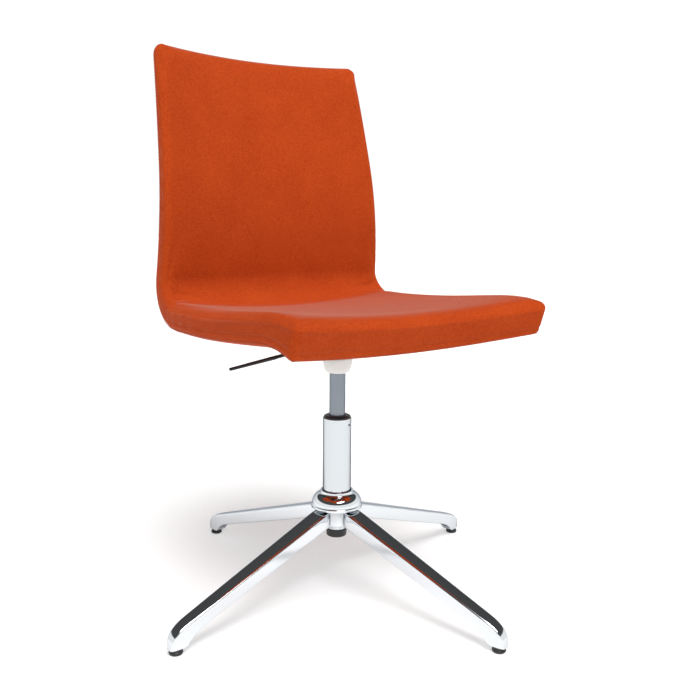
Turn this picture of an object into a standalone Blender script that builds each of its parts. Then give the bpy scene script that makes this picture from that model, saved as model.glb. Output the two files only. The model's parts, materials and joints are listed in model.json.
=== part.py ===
"""Visitor chair: a one-piece upholstered shell on a swivelling gas column with a four-arm base.

Units are metres and +Z is up. The floor is Z = 0 under the column, and the chair faces -Y.
The sitter's right hand, and so the height lever, is on the -X side.
"""

import math

import bmesh
import bpy
from mathutils import Vector

# Clearances
GAP = 0.0003                # between faces that seat on each other
RUN = 0.0004                # radial play of sliding and turning fits
CUT = 0.010                 # how far a cutter reaches past the wall that it cuts

# Glides
FOOT_RADIUS = 0.3485        # column axis to glide axis
GLIDE_RADIUS = 0.011
GLIDE_HEIGHT = 0.0085
GLIDE_EDGE = 0.0015         # chamfer on the glide's lower edge
STEM_RADIUS = 0.004
STEM_LENGTH = 0.013         # part of the stem inside the arm
STEM_GRIP = 0.005           # part of the stem inside the glide

# Arms
ARM_COUNT = 4
ARM_TURN = math.radians(9.9)        # heading of the first arm
ARM_NOSE = 0.0125           # arm end beyond the glide axis
ARM_BOSS = 0.0125           # arm foot's reach inward from the glide axis
ARM_BOSS_DROP = 0.006       # slope of the underside into the foot
ARM_NOSE_LENGTH = 0.032     # rounded end
ARM_END_TOP = 0.0468        # top of the arm where the rounded end begins
ARM_NOSE_LIP = 0.006        # upright face at the very end
ARM_ROOT_WIDTH = 0.0355
ARM_TIP_WIDTH = 0.0250
ARM_NOSE_WIDTH = 0.0190
ARM_ROOT_DEPTH = 0.0270
ARM_TIP_DEPTH = 0.0235
ARM_EDGE = 0.0040           # rounding of the top edges
ARM_CROWN = 0.0008          # rise of the top face at its middle
ARM_SHOULDER = 0.006        # level stretch of the top under the hub flange

# Hub
HUB_TOP = 0.1775            # height above the floor
HUB_FLANGE_TOP = 0.1528
HUB_FLANGE = 0.0062         # thickness
HUB_FLANGE_RADIUS = 0.0455
HUB_COLLAR_RADIUS = 0.0290
HUB_COLLAR = 0.0050         # height of the collar above the dome
HUB_EDGE = 0.0015
HUB_BOSS_RADIUS = 0.0270
HUB_BOSS_SKIRT = 0.0030     # boss below the arms
HUB_SEAT = 0.0080           # depth of the recess that takes the column's shoulder

# Column
TUBE_RADIUS = 0.025
TUBE_WALL = 0.0016
TUBE_RISE = 0.1305          # tube above the hub
NECK_TOP_RADIUS = 0.0210
NECK_END_RADIUS = 0.0182
NECK_WALL = 0.0018
NECK_REACH = 0.0090         # neck below the hub
TUBE_FLOOR = 0.0040
BUSH_LENGTH = 0.0760
BUSH_FLANGE = 0.0042
BUSH_FLANGE_RADIUS = 0.0238
CAP_HEIGHT = 0.0140
CAP_RADIUS = 0.0188
CAP_WALL = 0.0060
CAP_FLOOR = 0.0030

# Thrust bearing, rod and piston
ROD_RADIUS = 0.005
ROD_END_RADIUS = 0.004
ROD_TAIL = 0.0065           # rod end below the tube floor
WASHER_RADIUS = 0.0110
WASHER = 0.0012
BALL_RADIUS = 0.0016
BALL_COUNT = 6
CAGE_RADIUS = 0.0098
CAGE = 0.0016
CLIP_RADIUS = 0.0075
CLIP = 0.0012
BUFFER_RADIUS = 0.0115
PISTON = 0.0160
PISTON_NECK_RADIUS = 0.0035

# Gas cylinder
CYLINDER_RADIUS = 0.014
CYLINDER_WALL = 0.0014
CYLINDER_OUT = 0.0760       # length that shows at rest
CYLINDER_IN = 0.1060        # length inside the tube at rest
CYLINDER_LIP = 0.0015
TAPER_RADIUS = 0.0132       # at the upper end
TAPER_LENGTH = 0.0300
CYLINDER_CROWN = 0.0030     # closed end
GLAND = 0.0160
LIFT_DOWN = 0.0700          # travel below the rest height
LIFT_UP = 0.0400            # travel above the rest height
PISTON_STOP = 0.0120        # room that stays between piston and gland at full height
BUTTON_RADIUS = 0.0040
BUTTON_COLLAR = 0.0020      # extra radius of its collar
BUTTON_COLLAR_LENGTH = 0.0035

# Socket, its cover, the mechanism box and the seat plate
COVER_END_RADIUS = 0.0178
COVER_TOP_RADIUS = 0.0262
COVER_WALL = 0.0018
COVER_HEIGHT = 0.0275
SOCKET_RADIUS = 0.0180
SOCKET_INSET = 0.0135       # socket end above the cover's lower edge
BOX_WIDTH = 0.104
BOX_DEPTH = 0.080
BOX_HEIGHT = 0.0260
BOX_WALL = 0.0025
BOX_CORNER = 0.010
PLATE_WIDTH = 0.190
PLATE_DEPTH = 0.165
PLATE = 0.0035
PLATE_CORNER = 0.020
BOLT_SPREAD_X = 0.070
BOLT_SPREAD_Y = 0.060
BOLT_RADIUS = 0.003
BOLT_HEAD_RADIUS = 0.0052
BOLT_HEAD_FLAT = 0.0036     # radius of the head's flat end
BOLT_HEAD = 0.0036
BOLT_WASHER_RADIUS = 0.0075
BOLT_WASHER = 0.0014
NUT_FLANGE_RADIUS = 0.009
NUT_FLANGE = 0.0014
NUT_BARREL_RADIUS = 0.0042
NUT_EASE = 0.0009           # room under the flange for the plywood's curve

# Height lever
LEVER_RADIUS = 0.003
LEVER_PIVOT_X = -0.034
LEVER_DROP = 0.0070         # pivot below the seat plate
LEVER_PAST = 0.0040         # lever end beyond the button's axis
LEVER_BEND_X = -0.046
LEVER_SLOPE = math.radians(7.5)
LEVER_TIP_X = -0.2125
LEVER_EYE_RADIUS = 0.0048
LEVER_EYE_WIDTH = 0.0130
LEVER_SLOT = 0.0110         # width of the slot in the box wall
LEVER_LIFT = math.radians(5.0)
GRIP_LENGTH = 0.090
GRIP_ROOT_RADIUS = 0.0034
GRIP_TIP_RADIUS = 0.0026
GRIP_CORE_RADIUS = 0.0017
PIVOT_RADIUS = 0.0020
EAR = 0.0025
EAR_WIDTH = 0.0140
EAR_REACH = 0.0050          # ear below the pivot

# Upholstered shell: profile of its middle surface from the front edge to the top edge
SEAT_REACH = 0.2390         # front edge ahead of the column
WATERFALL = 0.0865          # length of the turned-down front
WATERFALL_ANGLE = math.radians(18.0)
SEAT_LENGTH = 0.2980
SEAT_TILT = math.radians(-3.0)
BEND_RADIUS = 0.0810
LUMBAR_ANGLE = math.radians(93.5)
BACK_LENGTH = 0.3955
BACK_ANGLE = math.radians(79.8)     # half way up
TOP_ANGLE = math.radians(77.1)

# Upholstered shell: half widths, rise of the sides towards the sitter, and thickness
FRONT_HALF_WIDTH = 0.2500
SEAT_HALF_WIDTH = 0.2500
BEND_HALF_WIDTH = 0.2395
LUMBAR_HALF_WIDTH = 0.2330
TOP_HALF_WIDTH = 0.2130
LUMBAR_PLACE = 0.12         # share of the back's length
FRONT_DISH = 0.0210
SEAT_DISH = 0.0150
BEND_DISH = 0.0220
BACK_DISH = 0.0305
TOP_DISH = 0.0310
FRONT_THICKNESS = 0.0655
SEAT_THICKNESS = 0.0510
BEND_THICKNESS = 0.0480
BACK_THICKNESS = 0.0395
TOP_THICKNESS = 0.0350
FRONT_BOW = -0.0235         # front edge's middle ahead of its corners
TOP_BOW = 0.0010            # top edge's middle above its corners
BOW_FADE = 0.100
FRONT_CORNER = 0.0110
TOP_CORNER = 0.0175
EDGE_RADIUS = 0.0150

# Layers of the shell
FABRIC = 0.0022
PLYWOOD = 0.0100
PLYWOOD_INSET = 0.0085
FOAM_INSET = 0.0075         # foam's outline inside the cover's
FOAM_EASE = 0.0036          # room between foam and cover

# Counts
ROUND_SIDES = 24
SMALL_SIDES = 12
ROD_SIDES = 10
NOSE_STEPS = 6              # sections of an arm's rounded end
DOME_STEPS = 4              # rows of points down the hub's dome
BELL_STEPS = 4              # rows of points down the socket cover
CORNER_STEPS = 4            # points round a plate's corner
SHELL_ROWS = (2, 3, 5, 3, 3)        # rows of points over each stretch of the shell's profile
SHELL_COLUMNS = 4           # columns of points between the shell's round edges

# Heights that follow from the sizes above
HUB_FLANGE_UNDER = HUB_FLANGE_TOP - HUB_FLANGE
ARM_ROOT_TOP = HUB_FLANGE_UNDER - GAP - ARM_CROWN
ARM_SHOULDER_RADIUS = HUB_BOSS_RADIUS + GAP + ARM_SHOULDER
HUB_BOTTOM = ARM_ROOT_TOP - ARM_ROOT_DEPTH - HUB_BOSS_SKIRT
ARM_FOOT = GLIDE_HEIGHT + GAP
TUBE_TOP = HUB_TOP + TUBE_RISE
TUBE_SHOULDER = HUB_TOP - HUB_SEAT + GAP
TUBE_BOTTOM = HUB_BOTTOM - NECK_REACH
TUBE_BORE = TUBE_RADIUS - TUBE_WALL
FLOOR_TOP = TUBE_BOTTOM + TUBE_FLOOR
LOWER_WASHER_Z = FLOOR_TOP + GAP
BALL_CENTRE_Z = LOWER_WASHER_Z + WASHER + GAP + BALL_RADIUS
UPPER_WASHER_Z = BALL_CENTRE_Z + BALL_RADIUS + GAP
ROD_SHOULDER_Z = UPPER_WASHER_Z + WASHER + GAP
BUSH_TOP = TUBE_TOP + GAP + BUSH_FLANGE
COVER_BOTTOM = BUSH_TOP + CYLINDER_OUT
CYLINDER_BOTTOM = BUSH_TOP - CYLINDER_IN
CYLINDER_BORE = CYLINDER_RADIUS - CYLINDER_WALL
BUFFER_TOP = CYLINDER_BOTTOM - LIFT_DOWN - GAP
GLAND_TOP = CYLINDER_BOTTOM + CYLINDER_LIP + GAP + GLAND
PISTON_Z = GLAND_TOP + LIFT_UP + PISTON_STOP
COVER_TOP = COVER_BOTTOM + COVER_HEIGHT
BOX_TILT_RISE = math.tan(-SEAT_TILT) * COVER_TOP_RADIUS
PLATE_TOP = COVER_TOP + GAP + BOX_TILT_RISE + BOX_HEIGHT + GAP + PLATE
PLATE_UNDER = PLATE_TOP - PLATE
LEVER_Z = PLATE_UNDER - LEVER_DROP
BUTTON_TOP = LEVER_Z - LEVER_RADIUS - GAP
BUTTON_STROKE = (LEVER_PAST - LEVER_PIVOT_X) * math.tan(LEVER_LIFT)
CYLINDER_TOP = BUTTON_TOP - BUTTON_STROKE - GAP
TAPER_Z = CYLINDER_TOP - TAPER_LENGTH
SOCKET_BOTTOM = COVER_BOTTOM + SOCKET_INSET

FINISHES = {
    "polished_aluminium": ((0.78, 0.78, 0.79), 0.10, 1.0),
    "chromed_steel": ((0.72, 0.72, 0.74), 0.08, 1.0),
    "grey_enamelled_steel": ((0.42, 0.44, 0.46), 0.38, 0.0),
    "plain_steel": ((0.50, 0.50, 0.51), 0.32, 1.0),
    "black_enamelled_steel": ((0.02, 0.02, 0.02), 0.45, 0.0),
    "black_nylon": ((0.015, 0.015, 0.015), 0.55, 0.0),
    "black_rubber": ((0.02, 0.02, 0.02), 0.80, 0.0),
    "white_polypropylene": ((0.80, 0.80, 0.78), 0.40, 0.0),
    "orange_wool": ((0.51, 0.085, 0.020), 0.90, 0.0),
    "seat_foam": ((0.80, 0.72, 0.45), 0.95, 0.0),
    "birch_plywood": ((0.62, 0.45, 0.26), 0.60, 0.0),
}


def clear_scene():
    """Remove every object of the scene."""
    for item in list(bpy.data.objects):
        bpy.data.objects.remove(item, do_unlink=True)


def finish(name):
    """Return the named material, made on first use."""
    found = bpy.data.materials.get(name)
    if found:
        return found
    colour, roughness, metallic = FINISHES[name]
    made = bpy.data.materials.new(name)
    made.use_nodes = True
    shader = made.node_tree.nodes["Principled BSDF"]
    shader.inputs["Base Color"].default_value = (*colour, 1.0)
    shader.inputs["Roughness"].default_value = roughness
    shader.inputs["Metallic"].default_value = metallic
    return made


def add_piece(name, bm, finish_name, parent=None):
    """Make an object from a bmesh, with its faces out and its round faces smooth."""
    bmesh.ops.recalc_face_normals(bm, faces=bm.faces)
    mesh = bpy.data.meshes.new(name)
    bm.to_mesh(mesh)
    bm.free()
    mesh.materials.append(finish(finish_name))
    mesh.shade_smooth()
    mesh.set_sharp_from_angle(angle=math.radians(35))
    piece = bpy.data.objects.new(name, mesh)
    bpy.context.scene.collection.objects.link(piece)
    piece.parent = parent
    return piece


def add_axis(name, place=(0, 0, 0), turn=(0, 0, 0)):
    """Add an empty that carries the pieces of one body or one tilted group."""
    axis = bpy.data.objects.new(name, None)
    axis.location = place
    axis.rotation_euler = turn
    bpy.context.scene.collection.objects.link(axis)
    return axis


def cut(piece, cutter):
    """Cut a hidden cutter out of a piece."""
    cutter.hide_render = True
    cutter.display_type = "WIRE"
    boolean = piece.modifiers.new("cut_" + cutter.name, "BOOLEAN")
    boolean.operation = "DIFFERENCE"
    boolean.object = cutter


def join(piece, added):
    """Fuse a hidden helper solid into a piece."""
    added.hide_render = True
    added.display_type = "WIRE"
    boolean = piece.modifiers.new("join_" + added.name, "BOOLEAN")
    boolean.operation = "UNION"
    boolean.object = added


def turn_outline(bm, outline, sides, centre=(0.0, 0.0)):
    """Turn a closed outline of (radius, height) points about the upright line through centre."""
    rings = []
    for radius, height in outline:
        if radius == 0:
            rings.append([bm.verts.new((centre[0], centre[1], height))])
            continue
        ring = []
        for step in range(sides):
            angle = 2 * math.pi * step / sides
            x = centre[0] + radius * math.cos(angle)
            y = centre[1] + radius * math.sin(angle)
            ring.append(bm.verts.new((x, y, height)))
        rings.append(ring)
    for lower, upper in zip(rings, rings[1:] + rings[:1]):
        for step in range(sides):
            after = (step + 1) % sides
            corners = [
                lower[step % len(lower)],
                lower[after % len(lower)],
                upper[after % len(upper)],
                upper[step % len(upper)],
            ]
            corners = list(dict.fromkeys(corners))
            if len(corners) > 2:
                bm.faces.new(corners)


def turned(name, outline, finish_name, parent=None, sides=ROUND_SIDES):
    """Add a turned piece."""
    bm = bmesh.new()
    turn_outline(bm, outline, sides)
    return add_piece(name, bm, finish_name, parent)


def ring_outline(inner, outer, low, high):
    """Outline of a plain ring, or of a disc where inner is 0."""
    return [(inner, low), (outer, low), (outer, high), (inner, high)]


def loft(bm, rings):
    """Skin closed rings of points in order, and close both ends."""
    rows = [[bm.verts.new(point) for point in ring] for ring in rings]
    for row, following in zip(rows, rows[1:]):
        for step in range(len(row)):
            after = (step + 1) % len(row)
            bm.faces.new((row[step], row[after], following[after], following[step]))
    bm.faces.new(rows[0])
    bm.faces.new(rows[-1])


def swept(bm, path, radii, sides, heading=None):
    """Sweep circles of the given radii along a path in the XZ plane, or square to one heading."""
    rings = []
    across = Vector((0, 1, 0))
    for step, (point, radius) in enumerate(zip(path, radii)):
        before = path[max(step - 1, 0)]
        after = path[min(step + 1, len(path) - 1)]
        along = heading or after - before
        up = along.normalized().cross(across)
        ring = []
        for side in range(sides):
            angle = 2 * math.pi * side / sides
            ring.append(point + radius * (math.cos(angle) * across + math.sin(angle) * up))
        rings.append(ring)
    loft(bm, rings)


def rounded_rectangle(width, depth, corner):
    """Points round a rectangle with round corners, centred on the origin."""
    points = []
    for quarter in range(4):
        sign_x = 1 if quarter in (0, 3) else -1
        sign_y = 1 if quarter in (0, 1) else -1
        for step in range(CORNER_STEPS + 1):
            angle = (quarter + step / CORNER_STEPS) * math.pi / 2
            x = sign_x * (width / 2 - corner) + corner * math.cos(angle)
            y = sign_y * (depth / 2 - corner) + corner * math.sin(angle)
            points.append((x, y))
    return points


# Four-arm base

def arm_top(radius):
    """Height of an arm's straight top at a distance from the column axis."""
    nose_start = FOOT_RADIUS + ARM_NOSE - ARM_NOSE_LENGTH
    share = (radius - ARM_SHOULDER_RADIUS) / (nose_start - ARM_SHOULDER_RADIUS)
    return ARM_ROOT_TOP + max(share, 0) * (ARM_END_TOP - ARM_ROOT_TOP)


def arm_share(radius):
    """How far along the straight part of an arm a distance lies, from 0 to 1."""
    nose_start = FOOT_RADIUS + ARM_NOSE - ARM_NOSE_LENGTH
    share = (radius - HUB_BOSS_RADIUS) / (nose_start - HUB_BOSS_RADIUS)
    return min(max(share, 0), 1)


def arm_section(radius, top, bottom, width):
    """Upright section of an arm, with its top edges rounded and its top crowned."""
    edge = min(ARM_EDGE, (top - bottom) / 2, width / 3)
    half = width / 2
    right = [(half - edge / 2, bottom), (half, bottom + edge / 2)]
    for step in range(3):
        angle = step / 2 * math.pi / 2
        right.append((half - edge + edge * math.cos(angle), top - edge + edge * math.sin(angle)))
    left = [(-across, height) for across, height in reversed(right)]
    points = right + [(0, top + ARM_CROWN)] + left
    return [Vector((radius, across, height)) for across, height in points]


def arm_mesh():
    """One arm along +X: a straight taper from the hub, a rounded nose and a foot for the glide."""
    end = FOOT_RADIUS + ARM_NOSE
    nose_start = end - ARM_NOSE_LENGTH
    foot_start = FOOT_RADIUS - ARM_BOSS
    lip = ARM_FOOT + ARM_NOSE_LIP
    stations = []
    for radius in (HUB_BOSS_RADIUS / 2, ARM_SHOULDER_RADIUS, nose_start):
        stations.append((radius, arm_top(radius)))
    for step in range(1, NOSE_STEPS + 1):
        share = step / NOSE_STEPS
        early, middle, late = (1 - share) ** 2, 2 * share * (1 - share), share ** 2
        radius = early * nose_start + (middle + late) * end
        height = early * ARM_END_TOP + middle * arm_top(end) + late * lip
        stations.append((radius, height))
    rings = []
    for radius, top in stations:
        share = arm_share(radius)
        width = ARM_ROOT_WIDTH + share * (ARM_TIP_WIDTH - ARM_ROOT_WIDTH)
        if radius > nose_start:
            width += (ARM_NOSE_WIDTH - ARM_TIP_WIDTH) * (radius - nose_start) / ARM_NOSE_LENGTH
        depth = ARM_ROOT_DEPTH + share * (ARM_TIP_DEPTH - ARM_ROOT_DEPTH)
        straight = arm_top(radius) - depth
        drop = min(max((radius - foot_start + ARM_BOSS_DROP) / ARM_BOSS_DROP, 0), 1)
        bottom = straight + drop * (ARM_FOOT - straight)
        rings.append(arm_section(radius, top, bottom, width))
    bm = bmesh.new()
    loft(bm, rings)
    return bm


def build_base(base):
    """Hub, arms and glides."""
    dome = [(HUB_COLLAR_RADIUS, HUB_TOP - HUB_EDGE - HUB_COLLAR)]
    for step in range(1, DOME_STEPS + 1):
        angle = step / DOME_STEPS * math.pi / 2
        reach = HUB_FLANGE_RADIUS - HUB_EDGE - HUB_COLLAR_RADIUS
        fall = HUB_TOP - HUB_EDGE - HUB_COLLAR - HUB_FLANGE_TOP
        dome.append((
            HUB_COLLAR_RADIUS + reach * math.sin(angle),
            HUB_FLANGE_TOP + fall * math.cos(angle),
        ))
    seat = HUB_TOP - HUB_SEAT
    turned("hub", [
        (TUBE_RADIUS + GAP, HUB_TOP),
        (HUB_COLLAR_RADIUS - HUB_EDGE, HUB_TOP),
        (HUB_COLLAR_RADIUS, HUB_TOP - HUB_EDGE),
        *dome,
        (HUB_FLANGE_RADIUS, HUB_FLANGE_TOP - HUB_EDGE),
        (HUB_FLANGE_RADIUS, HUB_FLANGE_UNDER + HUB_EDGE),
        (HUB_FLANGE_RADIUS - HUB_EDGE, HUB_FLANGE_UNDER),
        (HUB_BOSS_RADIUS, HUB_FLANGE_UNDER),
        (HUB_BOSS_RADIUS, HUB_BOTTOM + HUB_EDGE),
        (HUB_BOSS_RADIUS - HUB_EDGE, HUB_BOTTOM),
        (neck_radius(HUB_BOTTOM) + GAP, HUB_BOTTOM),
        (NECK_TOP_RADIUS + GAP, seat),
        (TUBE_RADIUS + GAP, seat),
    ], "polished_aluminium", base)

    trim = turned("arm_trim", ring_outline(
        0, HUB_BOSS_RADIUS + GAP, HUB_BOTTOM - CUT, HUB_FLANGE_UNDER + CUT,
    ), "plain_steel", base)
    stem_hole = ring_outline(0, STEM_RADIUS + GAP, ARM_FOOT - CUT, ARM_FOOT + STEM_LENGTH + GAP)
    glide_hole = GLIDE_HEIGHT - STEM_GRIP
    for number in range(1, ARM_COUNT + 1):
        heading = ARM_TURN + (number - 1) * 2 * math.pi / ARM_COUNT
        foot = (FOOT_RADIUS * math.cos(heading), FOOT_RADIUS * math.sin(heading), 0)

        arm = add_piece(f"arm_{number}", arm_mesh(), "polished_aluminium", base)
        arm.rotation_euler.z = heading
        cut(arm, trim)
        hole = turned(f"stem_hole_{number}", stem_hole, "plain_steel", base, SMALL_SIDES)
        hole.location = foot
        cut(arm, hole)

        stem = turned(f"glide_stem_{number}", ring_outline(
            0, STEM_RADIUS, glide_hole + GAP, ARM_FOOT + STEM_LENGTH,
        ), "plain_steel", base, SMALL_SIDES)
        stem.location = foot
        glide = turned(f"glide_foot_{number}", [
            (0, 0),
            (GLIDE_RADIUS - GLIDE_EDGE, 0),
            (GLIDE_RADIUS, GLIDE_EDGE),
            (GLIDE_RADIUS, GLIDE_HEIGHT - GLIDE_EDGE),
            (GLIDE_RADIUS - GLIDE_EDGE, GLIDE_HEIGHT),
            (STEM_RADIUS + GAP, GLIDE_HEIGHT),
            (STEM_RADIUS + GAP, glide_hole),
            (0, glide_hole),
        ], "black_nylon", base, SMALL_SIDES)
        glide.location = foot


# Column, thrust bearing and gas spring

def neck_radius(height):
    """Outer radius of the column's tapered neck at a height."""
    share = (height - TUBE_BOTTOM) / (TUBE_SHOULDER - TUBE_BOTTOM)
    return NECK_END_RADIUS + share * (NECK_TOP_RADIUS - NECK_END_RADIUS)


def build_column(base):
    """Outer tube, guide bush, end cap and the bearing's fixed washer."""
    turned("column_tube", [
        (ROD_END_RADIUS + RUN, TUBE_BOTTOM),
        (NECK_END_RADIUS, TUBE_BOTTOM),
        (NECK_TOP_RADIUS, TUBE_SHOULDER),
        (TUBE_RADIUS, TUBE_SHOULDER),
        (TUBE_RADIUS, TUBE_TOP),
        (TUBE_BORE, TUBE_TOP),
        (TUBE_BORE, TUBE_SHOULDER + TUBE_WALL),
        (NECK_TOP_RADIUS - NECK_WALL, TUBE_SHOULDER + TUBE_WALL),
        (NECK_END_RADIUS - NECK_WALL, FLOOR_TOP),
        (ROD_END_RADIUS + RUN, FLOOR_TOP),
    ], "chromed_steel", base)

    bore = CYLINDER_RADIUS + RUN
    seat = TUBE_TOP + GAP
    turned("guide_bush", [
        (bore, BUSH_TOP - BUSH_LENGTH),
        (TUBE_BORE - GAP, BUSH_TOP - BUSH_LENGTH),
        (TUBE_BORE - GAP, seat),
        (BUSH_FLANGE_RADIUS, seat),
        (BUSH_FLANGE_RADIUS, seat + BUSH_FLANGE / 2),
        (BUSH_FLANGE_RADIUS - BUSH_FLANGE / 2, BUSH_TOP),
        (bore, BUSH_TOP),
    ], "black_nylon", base)

    cap_top = TUBE_BOTTOM - GAP
    cap_bottom = cap_top - CAP_HEIGHT
    edge = CAP_FLOOR / 2
    turned("end_cap", [
        (0, cap_bottom),
        (CAP_RADIUS - edge, cap_bottom),
        (CAP_RADIUS, cap_bottom + edge),
        (CAP_RADIUS, cap_top),
        (CAP_RADIUS - CAP_WALL, cap_top),
        (CAP_RADIUS - CAP_WALL, cap_bottom + CAP_FLOOR),
        (0, cap_bottom + CAP_FLOOR),
    ], "black_nylon", base)

    turned("lower_washer", ring_outline(
        ROD_END_RADIUS + RUN, WASHER_RADIUS, LOWER_WASHER_Z, LOWER_WASHER_Z + WASHER,
    ), "plain_steel", base, SMALL_SIDES)


def build_spindle(spindle):
    """Piston rod with its piston, thrust bearing, buffer and clip."""
    seat = ROD_END_RADIUS + GAP
    turned("retaining_clip", ring_outline(
        seat, CLIP_RADIUS, TUBE_BOTTOM - GAP - CLIP, TUBE_BOTTOM - GAP,
    ), "plain_steel", spindle, SMALL_SIDES)

    cage = turned("bearing_cage", ring_outline(
        seat, CAGE_RADIUS, BALL_CENTRE_Z - CAGE / 2, BALL_CENTRE_Z + CAGE / 2,
    ), "plain_steel", spindle, SMALL_SIDES)
    balls = bmesh.new()
    pitch_radius = (seat + CAGE_RADIUS) / 2
    for number in range(BALL_COUNT):
        angle = 2 * math.pi * (number + 0.5) / BALL_COUNT
        made = bmesh.ops.create_uvsphere(balls, u_segments=6, v_segments=4, radius=BALL_RADIUS)
        place = Vector((pitch_radius * math.cos(angle), pitch_radius * math.sin(angle), BALL_CENTRE_Z))
        bmesh.ops.translate(balls, vec=place, verts=made["verts"])
    join(cage, add_piece("bearing_balls", balls, "plain_steel", spindle))

    turned("upper_washer", ring_outline(
        seat, WASHER_RADIUS, UPPER_WASHER_Z, UPPER_WASHER_Z + WASHER,
    ), "plain_steel", spindle, SMALL_SIDES)
    turned("buffer", ring_outline(
        ROD_RADIUS + GAP, BUFFER_RADIUS, ROD_SHOULDER_Z, BUFFER_TOP,
    ), "black_rubber", spindle, SMALL_SIDES)

    turned("piston_rod", [
        (0, TUBE_BOTTOM - ROD_TAIL),
        (ROD_END_RADIUS, TUBE_BOTTOM - ROD_TAIL),
        (ROD_END_RADIUS, ROD_SHOULDER_Z),
        (ROD_RADIUS, ROD_SHOULDER_Z),
        (ROD_RADIUS, PISTON_Z - GAP),
        (PISTON_NECK_RADIUS, PISTON_Z - GAP),
        (PISTON_NECK_RADIUS, PISTON_Z + PISTON),
        (0, PISTON_Z + PISTON),
    ], "plain_steel", spindle, SMALL_SIDES)
    turned("piston", ring_outline(
        PISTON_NECK_RADIUS + GAP, CYLINDER_BORE - RUN, PISTON_Z, PISTON_Z + PISTON,
    ), "black_nylon", spindle)


def taper_radius(height):
    """Outer radius of the cylinder's tapered upper end at a height."""
    share = max((height - TAPER_Z) / TAPER_LENGTH, 0)
    return CYLINDER_RADIUS + share * (TAPER_RADIUS - CYLINDER_RADIUS)


def build_gas_spring(seat, valve):
    """Cylinder, rod gland and release button."""
    button_hole = BUTTON_RADIUS + RUN
    crown = CYLINDER_TOP - CYLINDER_CROWN
    lip = CYLINDER_BOTTOM + CYLINDER_LIP
    lip_radius = CYLINDER_BORE - CYLINDER_LIP
    turned("gas_cylinder", [
        (lip_radius, CYLINDER_BOTTOM),
        (CYLINDER_RADIUS, CYLINDER_BOTTOM),
        (CYLINDER_RADIUS, TAPER_Z),
        (TAPER_RADIUS, CYLINDER_TOP),
        (button_hole, CYLINDER_TOP),
        (button_hole, crown),
        (TAPER_RADIUS - CYLINDER_WALL, crown),
        (CYLINDER_BORE, TAPER_Z),
        (CYLINDER_BORE, lip),
        (lip_radius, lip),
    ], "grey_enamelled_steel", seat)
    turned("rod_gland", ring_outline(
        ROD_RADIUS + RUN, CYLINDER_BORE - GAP, lip + GAP, GLAND_TOP,
    ), "black_nylon", seat)

    collar = BUTTON_RADIUS + BUTTON_COLLAR
    collar_top = crown - GAP
    turned("valve_button", [
        (0, collar_top - BUTTON_COLLAR_LENGTH),
        (collar, collar_top - BUTTON_COLLAR_LENGTH),
        (collar, collar_top),
        (BUTTON_RADIUS, collar_top),
        (BUTTON_RADIUS, BUTTON_TOP),
        (0, BUTTON_TOP),
    ], "plain_steel", valve, SMALL_SIDES)


# Seat plate, mechanism box and height lever

def build_socket(seat):
    """Taper socket and the bell-shaped cover round it."""
    socket_top = CYLINDER_TOP - GAP
    turned("taper_socket", [
        (taper_radius(SOCKET_BOTTOM) + GAP, SOCKET_BOTTOM),
        (SOCKET_RADIUS, SOCKET_BOTTOM),
        (SOCKET_RADIUS, socket_top),
        (taper_radius(socket_top) + GAP, socket_top),
    ], "plain_steel", seat)

    outside = []
    inside = []
    for step in range(BELL_STEPS + 1):
        angle = step / BELL_STEPS * math.pi / 2
        radius = COVER_END_RADIUS + (COVER_TOP_RADIUS - COVER_END_RADIUS) * math.sin(angle)
        height = COVER_BOTTOM + COVER_HEIGHT * (1 - math.cos(angle))
        outside.append((radius, height))
        inside.append((max(radius - COVER_WALL, CYLINDER_RADIUS + RUN), height))
    turned("socket_cover", outside + inside[::-1], "white_polypropylene", seat)


def plate_under(y):
    """Height of the tilted seat plate's underside at a place along the chair."""
    return PLATE_UNDER + y * math.tan(SEAT_TILT)


def plate_drill(name, plate, outline):
    """Hidden cutter with the same turned outline at each of the four bolt places."""
    bm = bmesh.new()
    for x, y in bolt_places():
        turn_outline(bm, outline, SMALL_SIDES, (x, y))
    return add_piece(name, bm, "plain_steel", plate)


def bolt_places():
    """Places of the four bolts in the seat plate's own frame."""
    return [(x * BOLT_SPREAD_X, y * BOLT_SPREAD_Y) for x in (-1, 1) for y in (-1, 1)]


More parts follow.
